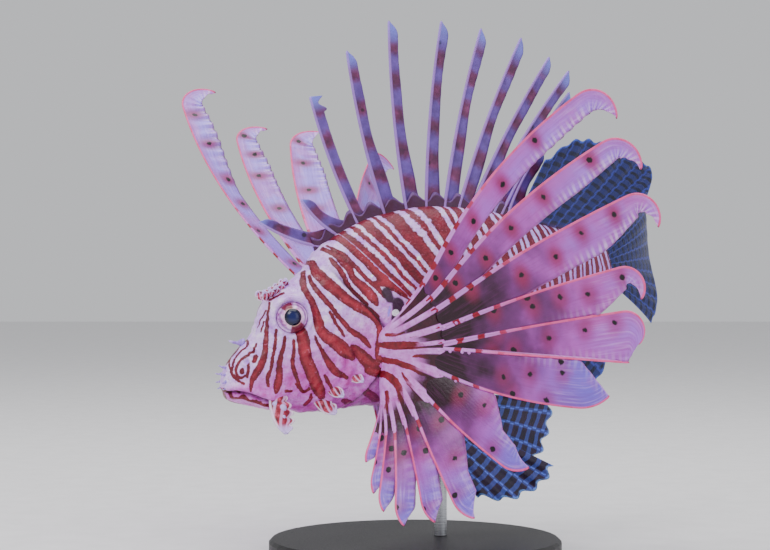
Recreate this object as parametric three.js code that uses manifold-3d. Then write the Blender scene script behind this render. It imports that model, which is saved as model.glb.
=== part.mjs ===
// Red lionfish, a life-size still model on a plain display stand.
// Millimetres, +Z up, origin at the centre of the stand's underside.
// The fish swims with its head to -X and its left side to -Y, head a little low and turned to its left.
import * as THREE from "three";
import { mergeVertices } from "three/addons/utils/BufferGeometryUtils.js";
import Module from "manifold-3d";

const wasm = await Module();
wasm.setup();

// Pose of the fish: where its snout is, how far its head is turned and lowered.
const SNOUT = [-87.3, -29.5, 80.5];
const YAW_DEG = 20;
const NOSE_DOWN_DEG = 16.5;

// The backbone is straight to BEND_START, then curves to the fish's right, harder in the tail fin.
const BEND_START = 110;
const TAIL_BASE = 211;
const BEND_RADIUS = 280;
const FIN_BEND_RADIUS = 120;

// Body sections: distance from the snout, back, belly, half width, height of the widest point.
const BODY_SECTIONS = [
  [-0.5, 1, -6, 2.5, -2.5],
  [2, 5.5, -8.6, 6, -2.5],
  [6, 9.5, -11, 8.6, -2],
  [12, 13.6, -14.2, 11.2, -1],
  [19, 17.5, -17.6, 13.4, 1],
  [25, 25, -20.2, 14.4, 3],
  [31, 32, -22.4, 15, 5],
  [40, 34.6, -25.2, 15.8, 6],
  [49, 38, -27, 17, 6],
  [60, 46, -29, 18.4, 5],
  [74, 50.5, -33, 19.4, 3],
  [90, 52.8, -35, 19, 3],
  [110, 51.6, -34, 17.4, 4],
  [130, 46.4, -30, 14.4, 5],
  [150, 38.4, -25.5, 11.2, 4],
  [170, 28, -20.8, 8.2, 2],
  [190, 18, -17.2, 5.8, 0],
  [204, 11.6, -15.6, 4.2, -2],
  [TAIL_BASE, 9.6, -15, 2.8, -2.6],
];
const BODY_STATIONS = 40;
const BODY_SIDES = 28;

// Gaps between touching pieces.
const GAP = 0.3;

// The gill cover's rear edge, the mouth line and the root of the tail, as height against distance.
const GILL_EDGE = [[54, 62], [57, 44], [63, 28], [71, 12], [75, 1], [73, -7], [67, -15], [57, -22.5], [46, -27], [40, -36]];
const MOUTH_LINE = [[-8, -2.6], [2, -3.6], [8, -6.2], [13, -9.6], [17.5, -12.4], [22, -16], [25.5, -23], [27, -31]];
const TORSO_END = 166;

// Eyes.
const EYE = { s: 37.2, h: 20.5, off: 9, radius: 7.8 };
const EYE_RING = { radius: 7.3, tube: 2, out: 4.6 };
const EYE_LOOK = [-0.16, 0.97, 0.12];

// Spiny dorsal fin: base distance, length, angle above the tailward line, lean to the left or right.
const DORSAL_SPINES = [
  [63, 31, 144, 6],
  [72.5, 24, 124, -2],
  [83, 62, 94, 5],
  [97, 77, 88.5, -2],
  [108, 88.5, 78, 4],
  [118, 88, 68, 1.5],
  [127, 89, 59, 4],
  [134, 91, 49.5, 3.5],
  [140, 92, 40, 7],
  [146, 89, 36, 5],
  [151.5, 80, 34, 7],
  [155.5, 59, 36, 4],
  [158.5, 41, 40, 3],
];
const SPINE = { rootSink: 4, thick: 1.8, tipThick: 0.8, web: 5, baseWeb: 10, curve: 8 };

// Soft-rayed fins: base from and to, number of rays, lean to the right at the rim,
// and ray lengths and angles from front to rear.
const SOFT_DORSAL = {
  lean: -10,
  from: 162,
  to: 203,
  rays: 11,
  lengths: [30, 43, 49, 54, 60, 60, 34],
  angles: [49, 47, 41, 31, 22, 16, 10],
};
const ANAL = {
  lean: 0,
  from: 142,
  to: 178,
  rays: 7,
  lengths: [26, 38, 42, 38, 26],
  angles: [-76, -68, -60, -50, -38],
};
const CAUDAL = { lean: 3, rays: 13, lengths: [50, 56, 56, 51, 45, 38], angles: [36, 20, 6, -10, -27, -46] };
const PELVIC = { s: 76, h: -32, off: 6, run: 9, rays: 6 };
const PELVIC_LEFT = { lengths: [58, 69, 76, 74], angles: [-67, -60, -51, -44], splay: 9 };
const PELVIC_RIGHT = { lengths: [78, 90, 92, 86], angles: [-45, -36, -27, -18], splay: 13 };

// Pectoral fins, ray by ray from the top: angle above the tailward line, lift from the flank,
// length from root to tip, or to the top of a tight hook, then in degrees how far the ray sways
// out of the root, bows along its length and hooks round at the tip, then the free width of its
// web near the root and near the tip, and for a web that doesn't face its neighbour how far it is
// turned about the ray.
const PECTORAL_LEFT = [
  [41.7, 40, 154, 20, 26, 125, 11, 11],
  [32.7, 45, 151, 20, 18, 130, 12, 12],
  [20.2, 48, 147, 8, 8, 140, 17, 17],
  [4, 50, 130, 12, 6, 145, 20, 18],
  [-8.2, 50, 126, 14, 2, 146, 26, 23],
  [-19.5, 50, 119, 6, 0, 0, 1.2, 1.2],
  [-29.6, 48, 110, 4, 18, 46, 28, 26],
  [-63, 42, 87, 0, 8, 62, 32, 13],
  [-87.8, 34, 86, 10, 2, 52, 21, 12],
  [-99.2, 28, 78, 2, -6, 48, 14, 10],
  [-109.6, 24, 75, 0, -8, 44, 11, 9],
  [-116.2, 20, 66, 0, -8, 40, 8, 7],
  [-120.7, 17, 56, 0, -6, 34, 6, 6],
  [-128.4, 15, 41, 0, -6, 28, 5, 5],
];
const PECTORAL_RIGHT = [
  [98.5, 37, 163, -8, 28, 125, 14, 14, -35],
  [86, 47, 154, 0, 22, 115, 14, 14],
  [70, 47.5, 152, 0, 18, 95, 17, 17],
  [46, 44, 146, 0, 30, 90, 20, 18],
  [27, 48, 132, 4, 10, 120, 26, 23],
  [8, 50, 119, 4, 0, 0, 1.2, 1.2],
  [-10, 48, 111, 4, 18, 46, 28, 26],
  [-32, 42, 90, 0, 8, 62, 32, 13],
  [-48, 35, 86, 4, 2, 52, 21, 12],
  [-58, 30, 78, 2, -6, 48, 14, 10],
  [-66, 26, 75, 0, -8, 44, 11, 9],
  [-73, 22, 66, 0, -8, 40, 8, 7],
  [-80, 19, 56, 0, -6, 34, 6, 6],
  [-88, 16, 41, 0, -6, 28, 5, 5],
];
// The ray that all webs and hooks lean towards, and where the hooks begin and have their top.
const CENTRE_RAY = 5;
const FULL_WEB = 20;
const HOOK_START = 0.85;
const HOOK_TOP = 0.92;
const NARROW_START = 0.7;
const TIGHT_HOOK = 80;
const PECTORAL_ROOT = { top: [74.5, 4], bottom: [72, -19], lobe: 27, sink: 4 };
const LOBE_REACH = [6, 13, 20, PECTORAL_ROOT.lobe];
const LOBE_THICK = [8, 8, 6.4, 4.2, 1.3];
const RAY = { thick: 1.5, tipThick: 0.8, web: 0.6 };

// Head trimmings: each frond is a notched leaf of skin, each cirrus a small cone.
// Place on the flank as distance and height, then angle and lift, length, width, thickness.
const FRONDS = [
  { at: [20.5, -9.5], angle: -95, lift: 26, length: 19, width: 10, teeth: 3 },
  { at: [38.5, -19], angle: -58, lift: 30, length: 11, width: 5.5, teeth: 2 },
  { at: [44.7, -16], angle: -42, lift: 38, length: 8, width: 4.5, teeth: 1 },
  { at: [54.8, -12], angle: -40, lift: 38, length: 7, width: 4.5, teeth: 1 },
  { at: [31.5, 30.5], angle: 105, lift: 30, length: 5.5, width: 5, teeth: 2 },
  { at: [37, 32], angle: 80, lift: 35, length: 3.5, width: 4, teeth: 1 },
];
// On the right side the leaf at the mouth is folded short and one on the cheek hangs long.
const FRONDS_RIGHT = FRONDS.map((shape, i) => {
  if (i === 0) return { ...shape, length: 8 };
  if (i === 2) return { ...shape, angle: -78, length: 17, width: 6, teeth: 2 };
  return shape;
});
const CIRRI = [
  { at: [13.5, 13.5], angle: 130, lift: 25, length: 8, radius: 1.5 },
  { at: [2.2, 4], angle: 165, lift: 20, length: 5, radius: 1 },
  { at: [1.6, 1], angle: 185, lift: 25, length: 4.5, radius: 1 },
  { at: [3.5, 6], angle: 140, lift: 30, length: 4, radius: 0.9 },
  { at: [44, 32], angle: 75, lift: 35, length: 3, radius: 1 },
];
const LIP = { radius: 1.7, sides: 6, steps: 14, rise: 1.2 };

// Stand.
const STAND = { radius: 68, thick: 8, bevel: 1.5, rodRadius: 3, rodX: 12, rodY: 7, rodSides: 20, edgeSides: 48 };

const v3 = (x, y, z) => new THREE.Vector3(x, y, z);
const rad = THREE.MathUtils.degToRad;
const lerp = THREE.MathUtils.lerp;
const clamp = THREE.MathUtils.clamp;

// Value at t, from 0 to 1, of a smooth curve through evenly spaced values.
function through(values, t) {
  const x = clamp(t, 0, 1) * (values.length - 1);
  const i = Math.min(Math.floor(x), values.length - 2);
  const at = (k) => values[clamp(k, 0, values.length - 1)];
  const f = x - i;
  const a = at(i - 1);
  const b = at(i);
  const c = at(i + 1);
  const d = at(i + 2);
  return b + 0.5 * f * (c - a + f * (2 * a - 5 * b + 4 * c - d + f * (3 * (b - c) + d - a)));
}

// A column of BODY_SECTIONS at distance s, with flat-ended cubic pieces that never overshoot.
function section(column, s) {
  const rows = BODY_SECTIONS;
  const last = rows.length - 1;
  const x = clamp(s, rows[0][0], rows[last][0]);
  let i = 0;
  while (i < last - 1 && rows[i + 1][0] < x) i += 1;
  const slope = (k) => (rows[k + 1][column] - rows[k][column]) / (rows[k + 1][0] - rows[k][0]);
  const tangent = (k) => {
    if (k === 0) return slope(0);
    if (k === last) return slope(last - 1);
    const a = slope(k - 1);
    const b = slope(k);
    return a * b <= 0 ? 0 : (2 * a * b) / (a + b);
  };
  const span = rows[i + 1][0] - rows[i][0];
  const t = (x - rows[i][0]) / span;
  const h00 = (1 + 2 * t) * (1 - t) * (1 - t);
  const h10 = t * (1 - t) * (1 - t);
  const h01 = t * t * (3 - 2 * t);
  const h11 = t * t * (t - 1);
  return h00 * rows[i][column] + h10 * span * tangent(i) + h01 * rows[i + 1][column] + h11 * span * tangent(i + 1);
}
const backAt = (s) => section(1, s);
const bellyAt = (s) => section(2, s);

// The backbone's point and heading at distance s.
function spine(s) {
  if (s <= BEND_START) return { x: s, y: 0, turn: 0 };
  const middle = Math.min(s, TAIL_BASE);
  const turn = (middle - BEND_START) / BEND_RADIUS;
  const x = BEND_START + BEND_RADIUS * Math.sin(turn);
  const y = BEND_RADIUS * (1 - Math.cos(turn));
  if (s <= TAIL_BASE) return { x, y, turn };
  const more = (s - TAIL_BASE) / FIN_BEND_RADIUS;
  return {
    x: x + FIN_BEND_RADIUS * (Math.sin(turn + more) - Math.sin(turn)),
    y: y + FIN_BEND_RADIUS * (Math.cos(turn) - Math.cos(turn + more)),
    turn: turn + more,
  };
}

// Tailward, outward to the right, and up, at distance s.
function axes(s) {
  const { turn } = spine(s);
  return { back: v3(Math.cos(turn), Math.sin(turn), 0), right: v3(-Math.sin(turn), Math.cos(turn), 0), up: v3(0, 0, 1) };
}

// A point of the fish: distance along the backbone, height, and offset to the right.
function fishPoint(s, h, off = 0) {
  const p = spine(s);
  return v3(p.x - off * Math.sin(p.turn), p.y + off * Math.cos(p.turn), h);
}

// A direction at distance s: angle above the tailward line, and lift to the right.
function direction(s, angle, lift) {
  const a = axes(s);
  const flat = Math.cos(rad(lift));
  return v3()
    .addScaledVector(a.back, flat * Math.cos(rad(angle)))
    .addScaledVector(a.up, flat * Math.sin(rad(angle)))
    .addScaledVector(a.right, Math.sin(rad(lift)));
}

function geometryOf(points, faces) {
  const flat = points.flatMap((p) => [p.x, p.y, p.z]);
  return new THREE.BufferGeometry()
    .setAttribute("position", new THREE.Float32BufferAttribute(flat, 3))
    .setIndex(faces.flat());
}

function toSolid(geometry) {
  const bare = geometry.clone();
  bare.deleteAttribute("normal");
  bare.deleteAttribute("uv");
  const merged = mergeVertices(bare, 1e-4);
  const made = new wasm.Manifold(
    new wasm.Mesh({
      numProp: 3,
      vertProperties: merged.attributes.position.array,
      triVerts: new Uint32Array(merged.index.array),
    }),
  );
  return made;
}

function toGeometry(solid) {
  const mesh = solid.getMesh();
  const flat = [];
  for (let i = 0; i < mesh.numVert; i += 1) {
    flat.push(...mesh.vertProperties.subarray(i * mesh.numProp, i * mesh.numProp + 3));
  }
  return new THREE.BufferGeometry()
    .setAttribute("position", new THREE.Float32BufferAttribute(flat, 3))
    .setIndex([...mesh.triVerts]);
}

// The largest closed surface of a solid.
function largest(solid) {
  return solid.decompose().reduce((a, b) => (b.volume() > a.volume() ? b : a));
}

const joined = (solids) => solids.reduce((a, b) => a.add(b));

// A thin solid made larger by about the gap on every side.
function swollen(solid) {
  const copies = [];
  for (const x of [-1, 1]) {
    for (const y of [-1, 1]) {
      for (const z of [-1, 1]) copies.push(solid.translate(x * GAP, y * GAP, z * GAP));
    }
  }
  return joined([solid, ...copies]);
}

// A closed loft through rings of equal size, fanned shut at both ends.
function loft(rings) {
  const sides = rings[0].length;
  const centre = (ring) => ring.reduce((a, p) => a.add(p), v3(0, 0, 0)).multiplyScalar(1 / sides);
  const points = [...rings.flat(), centre(rings[0]), centre(rings[rings.length - 1])];
  const first = rings.length * sides;
  const faces = [];
  for (let r = 0; r < rings.length - 1; r += 1) {
    for (let k = 0; k < sides; k += 1) {
      const a = r * sides + k;
      const b = r * sides + ((k + 1) % sides);
      faces.push([a, b, b + sides], [a, b + sides, a + sides]);
    }
  }
  const end = (rings.length - 1) * sides;
  for (let k = 0; k < sides; k += 1) {
    const next = (k + 1) % sides;
    faces.push([first, next, k], [first + 1, end + k, end + next]);
  }
  return outward(geometryOf(points, faces));
}

// A closed geometry's solid, turned round if its faces point inwards.
function outward(geometry) {
  const solid = toSolid(geometry);
  if (solid.volume() > 0) return solid;
  const index = geometry.index.array;
  for (let i = 0; i < index.length; i += 3) [index[i + 1], index[i + 2]] = [index[i + 2], index[i + 1]];
  return toSolid(geometry);
}

// A sheet with the thickness given at each point of a grid of centre points, closed all round.
function sheet(grid, thickness) {
  const rows = grid.length;
  const columns = grid[0].length;
  const at = (r, c) => grid[clamp(r, 0, rows - 1)][clamp(c, 0, columns - 1)];
  const sides = [[], []];
  for (let r = 0; r < rows; r += 1) {
    for (let c = 0; c < columns; c += 1) {
      const along = at(r + 1, c).clone().sub(at(r - 1, c));
      const across = at(r, c + 1).clone().sub(at(r, c - 1));
      const normal = along.cross(across).normalize();
      const half = thickness(r, c) / 2;
      sides[0].push(grid[r][c].clone().addScaledVector(normal, half));
      sides[1].push(grid[r][c].clone().addScaledVector(normal, -half));
    }
  }
  const top = (r, c) => r * columns + c;
  const low = (r, c) => rows * columns + r * columns + c;
  const faces = [];
  for (let r = 0; r < rows - 1; r += 1) {
    for (let c = 0; c < columns - 1; c += 1) {
      faces.push([top(r, c), top(r + 1, c), top(r + 1, c + 1)], [top(r, c), top(r + 1, c + 1), top(r, c + 1)]);
      faces.push([low(r, c), low(r + 1, c + 1), low(r + 1, c)], [low(r, c), low(r, c + 1), low(r + 1, c + 1)]);
    }
  }
  const rim = [];
  for (let c = 0; c < columns - 1; c += 1) rim.push([0, c]);
  for (let r = 0; r < rows - 1; r += 1) rim.push([r, columns - 1]);
  for (let c = columns - 1; c > 0; c -= 1) rim.push([rows - 1, c]);
  for (let r = rows - 1; r > 0; r -= 1) rim.push([r, 0]);
  rim.forEach(([r, c], i) => {
    const [r2, c2] = rim[(i + 1) % rim.length];
    faces.push([top(r, c), top(r2, c2), low(r2, c2)], [top(r, c), low(r2, c2), low(r, c)]);
  });
  return outward(geometryOf([...sides[0], ...sides[1]], faces));
}

// One closed ring of the body, larger than the body by grow.
function bodyRing(s, grow) {
  const back = backAt(s) + grow;
  const belly = bellyAt(s) - grow;
  const half = section(3, s) + grow;
  const widest = section(4, s);
  const ring = [];
  for (let k = 0; k < BODY_SIDES; k += 1) {
    const angle = (2 * Math.PI * k) / BODY_SIDES;
    const rise = Math.sin(angle);
    const h = widest + (rise > 0 ? back - widest : widest - belly) * rise;
    const side = Math.sign(Math.cos(angle)) * Math.abs(Math.cos(angle)) ** 0.95;
    ring.push(fishPoint(s, h, half * side));
  }
  return ring;
}

// The whole body from snout to tail root.
function bodySolid(grow) {
  const rings = [];
  for (let i = 0; i <= BODY_STATIONS; i += 1) {
    const t = i / BODY_STATIONS;
    const s = lerp(-0.5, TAIL_BASE, 0.55 * t + 0.45 * t * t);
    rings.push(bodyRing(s, grow));
  }
  return loft(rings);
}

// Where the flank is, left of the backbone, at distance s and height h.
function flank(s, h) {
  const widest = section(4, s);
  const reach = h > widest ? backAt(s) - widest : widest - bellyAt(s);
  const rise = clamp((h - widest) / reach, -1, 1);
  return section(3, s) * Math.sqrt(1 - rise * rise) ** 0.95;
}

// A thin band that cuts through the body sideways along a line of distance and height.
function cuttingBand(line) {
  const curve = new THREE.SplineCurve(line.map(([s, h]) => new THREE.Vector2(s, h)));
  const steps = 3 * line.length;
  const near = curve.getPoints(steps);
  const far = near.map((p, i) => {
    const tangent = curve.getTangent(i / steps);
    return new THREE.Vector2(p.x - tangent.y * GAP, p.y + tangent.x * GAP);
  });
  const shape = new THREE.Shape([...near, ...far.reverse()]);
  const wide = 80;
  const geometry = new THREE.ExtrudeGeometry(shape, { depth: wide, bevelEnabled: false, steps: 1 });
  geometry.rotateX(Math.PI / 2).translate(0, wide / 2, 0);
  return outward(geometry);
}

function tailSlab() {
  const geometry = new THREE.BoxGeometry(GAP, 80, 140);
  const p = spine(TORSO_END);
  geometry.rotateZ(p.turn).translate(p.x, p.y, 0);
  return toSolid(geometry);
}

// Head, jaw, torso and tail, parted by thin cuts.
function fleshPieces() {
  const cut = bodySolid(0)
    .subtract(cuttingBand(GILL_EDGE))
    .subtract(cuttingBand(MOUTH_LINE))
    .subtract(tailSlab());
  const pieces = cut.decompose().filter((p) => p.volume() > 100);
  const box = (p) => p.boundingBox();
  const find = (test) => pieces.find((p) => test(box(p).min[0], box(p).max[0]));
  return {
    jaw: find((low, high) => high < 40),
    head: find((low, high) => low < 20 && high > 50),
    torso: find((low, high) => low > 20 && low < 100),
    tail: find((low) => low > 120),
  };
}

const eyeCentre = (side) => v3(EYE.s, side * EYE.off, EYE.h);
const eyeLook = (side) => v3(EYE_LOOK[0], side * EYE_LOOK[1], EYE_LOOK[2]).normalize();

function eyeSolid(side, grow) {
  const centre = eyeCentre(side);
  const geometry = new THREE.SphereGeometry(EYE.radius + grow, 16, 10);
  const turn = new THREE.Quaternion().setFromUnitVectors(v3(0, 1, 0), eyeLook(side));
  geometry.applyQuaternion(turn).translate(centre.x, centre.y, centre.z);
  return toSolid(geometry);
}

function eyeRing(side) {
  const centre = eyeCentre(side).addScaledVector(eyeLook(side), EYE_RING.out);
  const geometry = new THREE.TorusGeometry(EYE_RING.radius, EYE_RING.tube, 8, 20);
  const turn = new THREE.Quaternion().setFromUnitVectors(v3(0, 0, 1), eyeLook(side));
  geometry.applyQuaternion(turn).translate(centre.x, centre.y, centre.z);
  return toSolid(geometry);
}

// A vane: a line of ray points, with a web to one side that ends at the rim points.
function vane(line, rim, thick, tipThick) {
  const last = line.length - 1;
  const grid = line.map((p, k) => {
    const out = rim[k].clone().sub(p);
    const wide = Math.max(out.length(), 0.4);
    out.normalize();
    const half = Math.min(0.4 * wide, lerp(0.5 * thick, 0.3 * thick, k / last));
    return [
      p.clone().addScaledVector(out, -half),
      p.clone().addScaledVector(out, half),
      p.clone().addScaledVector(out, Math.max(wide, 2 * half)),
    ];
  });
  return sheet(grid, (r, c) => (c === 2 ? RAY.web : lerp(thick, tipThick, r / last)));
}

// A ray from its root to its tip, in the plane of its chord and the way that its tip hooks.
function hookedRay(root, chord, towards, [, , length, sway, bow, hook]) {
  const steps = 80;
  const turnAt = (t) => {
    const swayed = sway * (1 - clamp(4 * t, 0, 1));
    const bowed = bow * clamp((t - 0.25) / 0.6, 0, 1);
    const hooked = hook * clamp((t - HOOK_START) / (1 - HOOK_START), 0, 1);
    return -rad(swayed + bowed + hooked);
  };
  const path = [new THREE.Vector2(0, 0)];
  for (let k = 0; k < steps; k += 1) {
    const turn = turnAt((k + 0.5) / steps);
    path.push(path[k].clone().add(new THREE.Vector2(Math.cos(turn), Math.sin(turn))));
  }
  const chordEnd = path[hook > TIGHT_HOOK ? Math.round(HOOK_TOP * steps) : steps];
  const scale = length / chordEnd.length();
  const tilt = chordEnd.angle();
  path.forEach((p) => p.rotateAround(new THREE.Vector2(0, 0), -tilt).multiplyScalar(scale));
  const place = (p) => root.clone().addScaledVector(chord, p.x).addScaledVector(towards, -p.y);
  return {
    length: steps * scale,
    hookRadius: hook ? ((1 - HOOK_START) * steps * scale) / rad(hook) : Infinity,
    at(t) {
      const x = clamp(t, 0, 1) * steps;
      const k = Math.min(Math.floor(x), steps - 1);
      return place(path[k].clone().lerp(path[k + 1], x - k));
    },
    inward(t) {
      const turn = turnAt(t) - tilt;
      return v3().addScaledVector(chord, Math.sin(turn)).addScaledVector(towards, Math.cos(turn));
    },
  };
}

// The rim of a ray's web: on the neighbour ray where that is near, else a free edge.
function webRim(ray, neighbour, rootWidth, tipWidth, stations) {
  const full = tipWidth > FULL_WEB;
  const rimAt = (t) => {
    const p = ray.at(t);
    const reach = neighbour.at((t * ray.length) / neighbour.length).sub(p);
    const gap = reach.length();
    const hooked = clamp((t - HOOK_START) / (1 - HOOK_START), 0, 1);
    const wide = lerp(rootWidth, tipWidth, clamp((t - 0.5) / 0.25, 0, 1));
    const inHook = full ? wide : Math.min(wide, 0.8 * ray.hookRadius);
    const narrowed = clamp((t - NARROW_START) / (HOOK_TOP - NARROW_START), 0, 1);
    const free = Math.max(0.6, lerp(wide, inHook, narrowed) * (1 - hooked ** 3));
    if (gap <= free) return p.add(reach);
    const way = reach.normalize().lerp(ray.inward(t), clamp(4 * t - 2.2, 0, 1)).normalize();
    return p.addScaledVector(way, free);
  };
  // A full web ends on a straight edge from the foot of the hook to its tip.
  const foot = rimAt(HOOK_START);
  const tip = ray.at(1).addScaledVector(ray.inward(1), 0.6);
  return stations.map((t) => {
    if (!full || t <= HOOK_START) return rimAt(t);
    return foot.clone().lerp(tip, (t - HOOK_START) / (1 - HOOK_START));
  });
}

const RAY_STATIONS = [0.1, 0.3, 0.55, 0.75, 0.86, 0.91, 0.96, 1];

// A pectoral fin: a fleshy lobe and fourteen rays with their webs.
function pectoralFin(rays, side) {
  const last = rays.length - 1;
  const roots = rays.map((ray, i) => {
    const s = lerp(PECTORAL_ROOT.top[0], PECTORAL_ROOT.bottom[0], i / last);
    const h = lerp(PECTORAL_ROOT.top[1], PECTORAL_ROOT.bottom[1], i / last);
    return v3(s, side * (flank(s, h) - 1), h);
  });
  const chords = rays.map(([angle, lift]) => direction(0, angle, side * lift));
  const reaches = [-PECTORAL_ROOT.sink, ...LOBE_REACH];
  const lobeGrid = reaches.map((reach) => roots.map((root, i) => root.clone().addScaledVector(chords[i], reach)));
  const lobe = sheet(lobeGrid, (r, c) => LOBE_THICK[r] * (c === 0 || c === last ? 0.5 : 1));

  const neighbour = (i) => (i < CENTRE_RAY ? i + 1 : i - 1);
  const curves = rays.map((ray, i) => {
    const beside = chords[neighbour(i)];
    const towards = beside.clone().addScaledVector(chords[i], -beside.dot(chords[i])).normalize();
    towards.applyAxisAngle(chords[i], rad(ray[8] ?? 0));
    return hookedRay(roots[i], chords[i], towards, ray);
  });
  const vanes = curves.map((curve, i) => {
    const line = RAY_STATIONS.map((t) => curve.at(t));
    const rim = webRim(curve, curves[neighbour(i)], rays[i][6], rays[i][7], RAY_STATIONS);
    return vane(line, rim, RAY.thick, RAY.tipThick);
  });
  return joined([lobe, ...vanes]);
}

const SPINE_STATIONS = [0, 0.14, 0.3, 0.6, 0.86, 1];

// The dorsal spines, each with the web behind it.
function dorsalVanes() {
  const ways = DORSAL_SPINES.map(([s, , angle, lean]) => direction(s, angle, lean));
  const roots = DORSAL_SPINES.map(([s], i) => fishPoint(s, backAt(s)).addScaledVector(ways[i], -SPINE.rootSink));
  return DORSAL_SPINES.map(([s, length, angle], i) => {
    const tailward = direction(s, angle - 90, 0);
    const line = SPINE_STATIONS.map((t) =>
      roots[i]
        .clone()
        .addScaledVector(ways[i], (length + SPINE.rootSink) * t)
        .addScaledVector(tailward, -SPINE.curve * t * (1 - t)),
    );
    const rim = line.map((p, k) => {
      const t = SPINE_STATIONS[k];
      const wide = t === 1 ? 0.6 : lerp(SPINE.baseWeb, SPINE.web, Math.min(1, 3 * t));
      const next = roots[i + 1];
      return next && k === 0 ? next.clone() : p.clone().addScaledVector(tailward, wide);
    });
    return vane(line, rim, SPINE.thick, SPINE.tipThick);
  });
}

// A low fleshy strip along the back that all the dorsal spines stand in.
function dorsalStrip() {
  const steps = 24;
  const first = DORSAL_SPINES[0][0] - 3;
  const last = DORSAL_SPINES[DORSAL_SPINES.length - 1][0] + 1;
  const rows = [-3, 2.6].map((rise) =>
    Array.from({ length: steps + 1 }, (_, i) => {
      const s = lerp(first, last, i / steps);
      return fishPoint(s, backAt(s) + rise);
    }),
  );
  return sheet(rows, () => 2.2);
}

// A ribbed fin that bends with the body: a row of rays from a base line, every second column a web.
function ribbedFin({ rays, lengths, angles }, baseAt, offAt, rows, sink) {
  const columns = 2 * rays - 1;
  const grid = Array.from({ length: rows }, (_, r) =>
    Array.from({ length: columns }, (__, c) => {
      const t = c / (columns - 1);
      const u = r / (rows - 1);
      const notch = c % 2 ? 0.96 : 1;
      const reach = lerp(-sink, through(lengths, t) * notch, u);
      const angle = rad(through(angles, t));
      const [s, h] = baseAt(t);
      return fishPoint(s + reach * Math.cos(angle), h + reach * Math.sin(angle), offAt(u));
    }),
  );
  return sheet(grid, (r, c) => (c % 2 ? RAY.web : lerp(1.6, 0.7, r / (rows - 1))));
}

const alongEdge = ({ from, to }, edgeAt) => (t) => [lerp(from, to, t), edgeAt(lerp(from, to, t))];
const leaning = (lean) => (u) => lean * u;

const softDorsalFin = () => ribbedFin(SOFT_DORSAL, alongEdge(SOFT_DORSAL, backAt), leaning(SOFT_DORSAL.lean), 6, 3);
const analFin = () => ribbedFin(ANAL, alongEdge(ANAL, bellyAt), leaning(ANAL.lean), 5, 3);

function caudalFin() {
  const baseAt = (t) => [TAIL_BASE, lerp(backAt(TAIL_BASE), bellyAt(TAIL_BASE), t)];
  return ribbedFin(CAUDAL, baseAt, leaning(CAUDAL.lean), 6, 3);
}

function pelvicFin(shape, side) {
  const baseAt = (t) => [PELVIC.s + PELVIC.run * t, PELVIC.h];
  const offAt = (u) => side * (PELVIC.off + shape.splay * u);
  return ribbedFin({ ...shape, rays: PELVIC.rays }, baseAt, offAt, 6, 5);
}

// A point of the skin at distance s and height h, pushed out by out.
const skinPoint = (s, h, side, out = 0) => fishPoint(s, h, side * (flank(s, h) + out));

// A leaf of skin with a notched rear edge.
function frond({ at, angle, lift, length, width, teeth }, side) {
  const way = direction(at[0], angle, side * lift);
  const across = direction(at[0], angle + 90, 0);
  const root = skinPoint(at[0], at[1], side, -2);
  const rows = 2 * teeth + 3;
  const grid = Array.from({ length: rows }, (_, r) => {
    const u = r / (rows - 1);
    const wide = width * (0.35 + 0.9 * u - 1.1 * u ** 3) * (r % 2 ? 1 : 0.72);
    const along = root.clone().addScaledVector(way, u * (length + 2));
    return [-0.35, 0, 0.65].map((x) => along.clone().addScaledVector(across, x * wide));
  });
  return sheet(grid, (r, c) => (c === 1 ? 1.3 : 0.7));
}

function cirrus({ at, angle, lift, length, radius }, side) {
  const geometry = new THREE.CylinderGeometry(0.35, radius, length + 2, 5);
  geometry.translate(0, length / 2 - 1, 0);
  const turn = new THREE.Quaternion().setFromUnitVectors(v3(0, 1, 0), direction(at[0], angle, side * lift));
  const root = skinPoint(at[0], at[1], side);
  geometry.applyQuaternion(turn).translate(root.x, root.y, root.z);
  return toSolid(geometry);
}

// The upper lip: a roll along the mouth line, from one corner round the snout to the other.
function upperLip() {
  const line = MOUTH_LINE.slice(1, 5).map(([s, h]) => [s, h + LIP.rise]);
  const left = line.map(([s, h]) => skinPoint(s, h, -1, -0.8));
  const right = line.map(([s, h]) => skinPoint(s, h, 1, -0.8));
  const front = fishPoint(-0.6, line[0][1] + 0.4);
  const curve = new THREE.CatmullRomCurve3([...left.reverse(), front, ...right]);
  const rings = Array.from({ length: LIP.steps + 1 }, (_, k) => {
    const t = k / LIP.steps;
    const tangent = curve.getTangent(t);
    const side = tangent.clone().cross(v3(0, 0, 1)).normalize();
    const up = side.clone().cross(tangent);
    const radius = LIP.radius * (0.55 + 0.45 * Math.sin(Math.PI * t));
    return Array.from({ length: LIP.sides }, (__, i) => {
      const angle = (2 * Math.PI * i) / LIP.sides;
      return curve
        .getPoint(t)
        .addScaledVector(side, radius * Math.cos(angle))
        .addScaledVector(up, radius * Math.sin(angle));
    });
  });
  return loft(rings);
}

// Stand.
function standBase() {
  const { radius, thick, bevel } = STAND;
  const profile = [[0, 0], [radius, 0], [radius, thick - bevel], [radius - bevel, thick], [0, thick]];
  const geometry = new THREE.LatheGeometry(profile.map(([x, y]) => new THREE.Vector2(x, y)), STAND.edgeSides);
  geometry.rotateX(Math.PI / 2);
  return outward(geometry);
}

function standRod(height) {
  const geometry = new THREE.CylinderGeometry(STAND.rodRadius, STAND.rodRadius, height, STAND.rodSides);
  geometry.rotateX(Math.PI / 2).translate(STAND.rodX, STAND.rodY, STAND.thick + GAP + height / 2);
  return toSolid(geometry);
}

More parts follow.
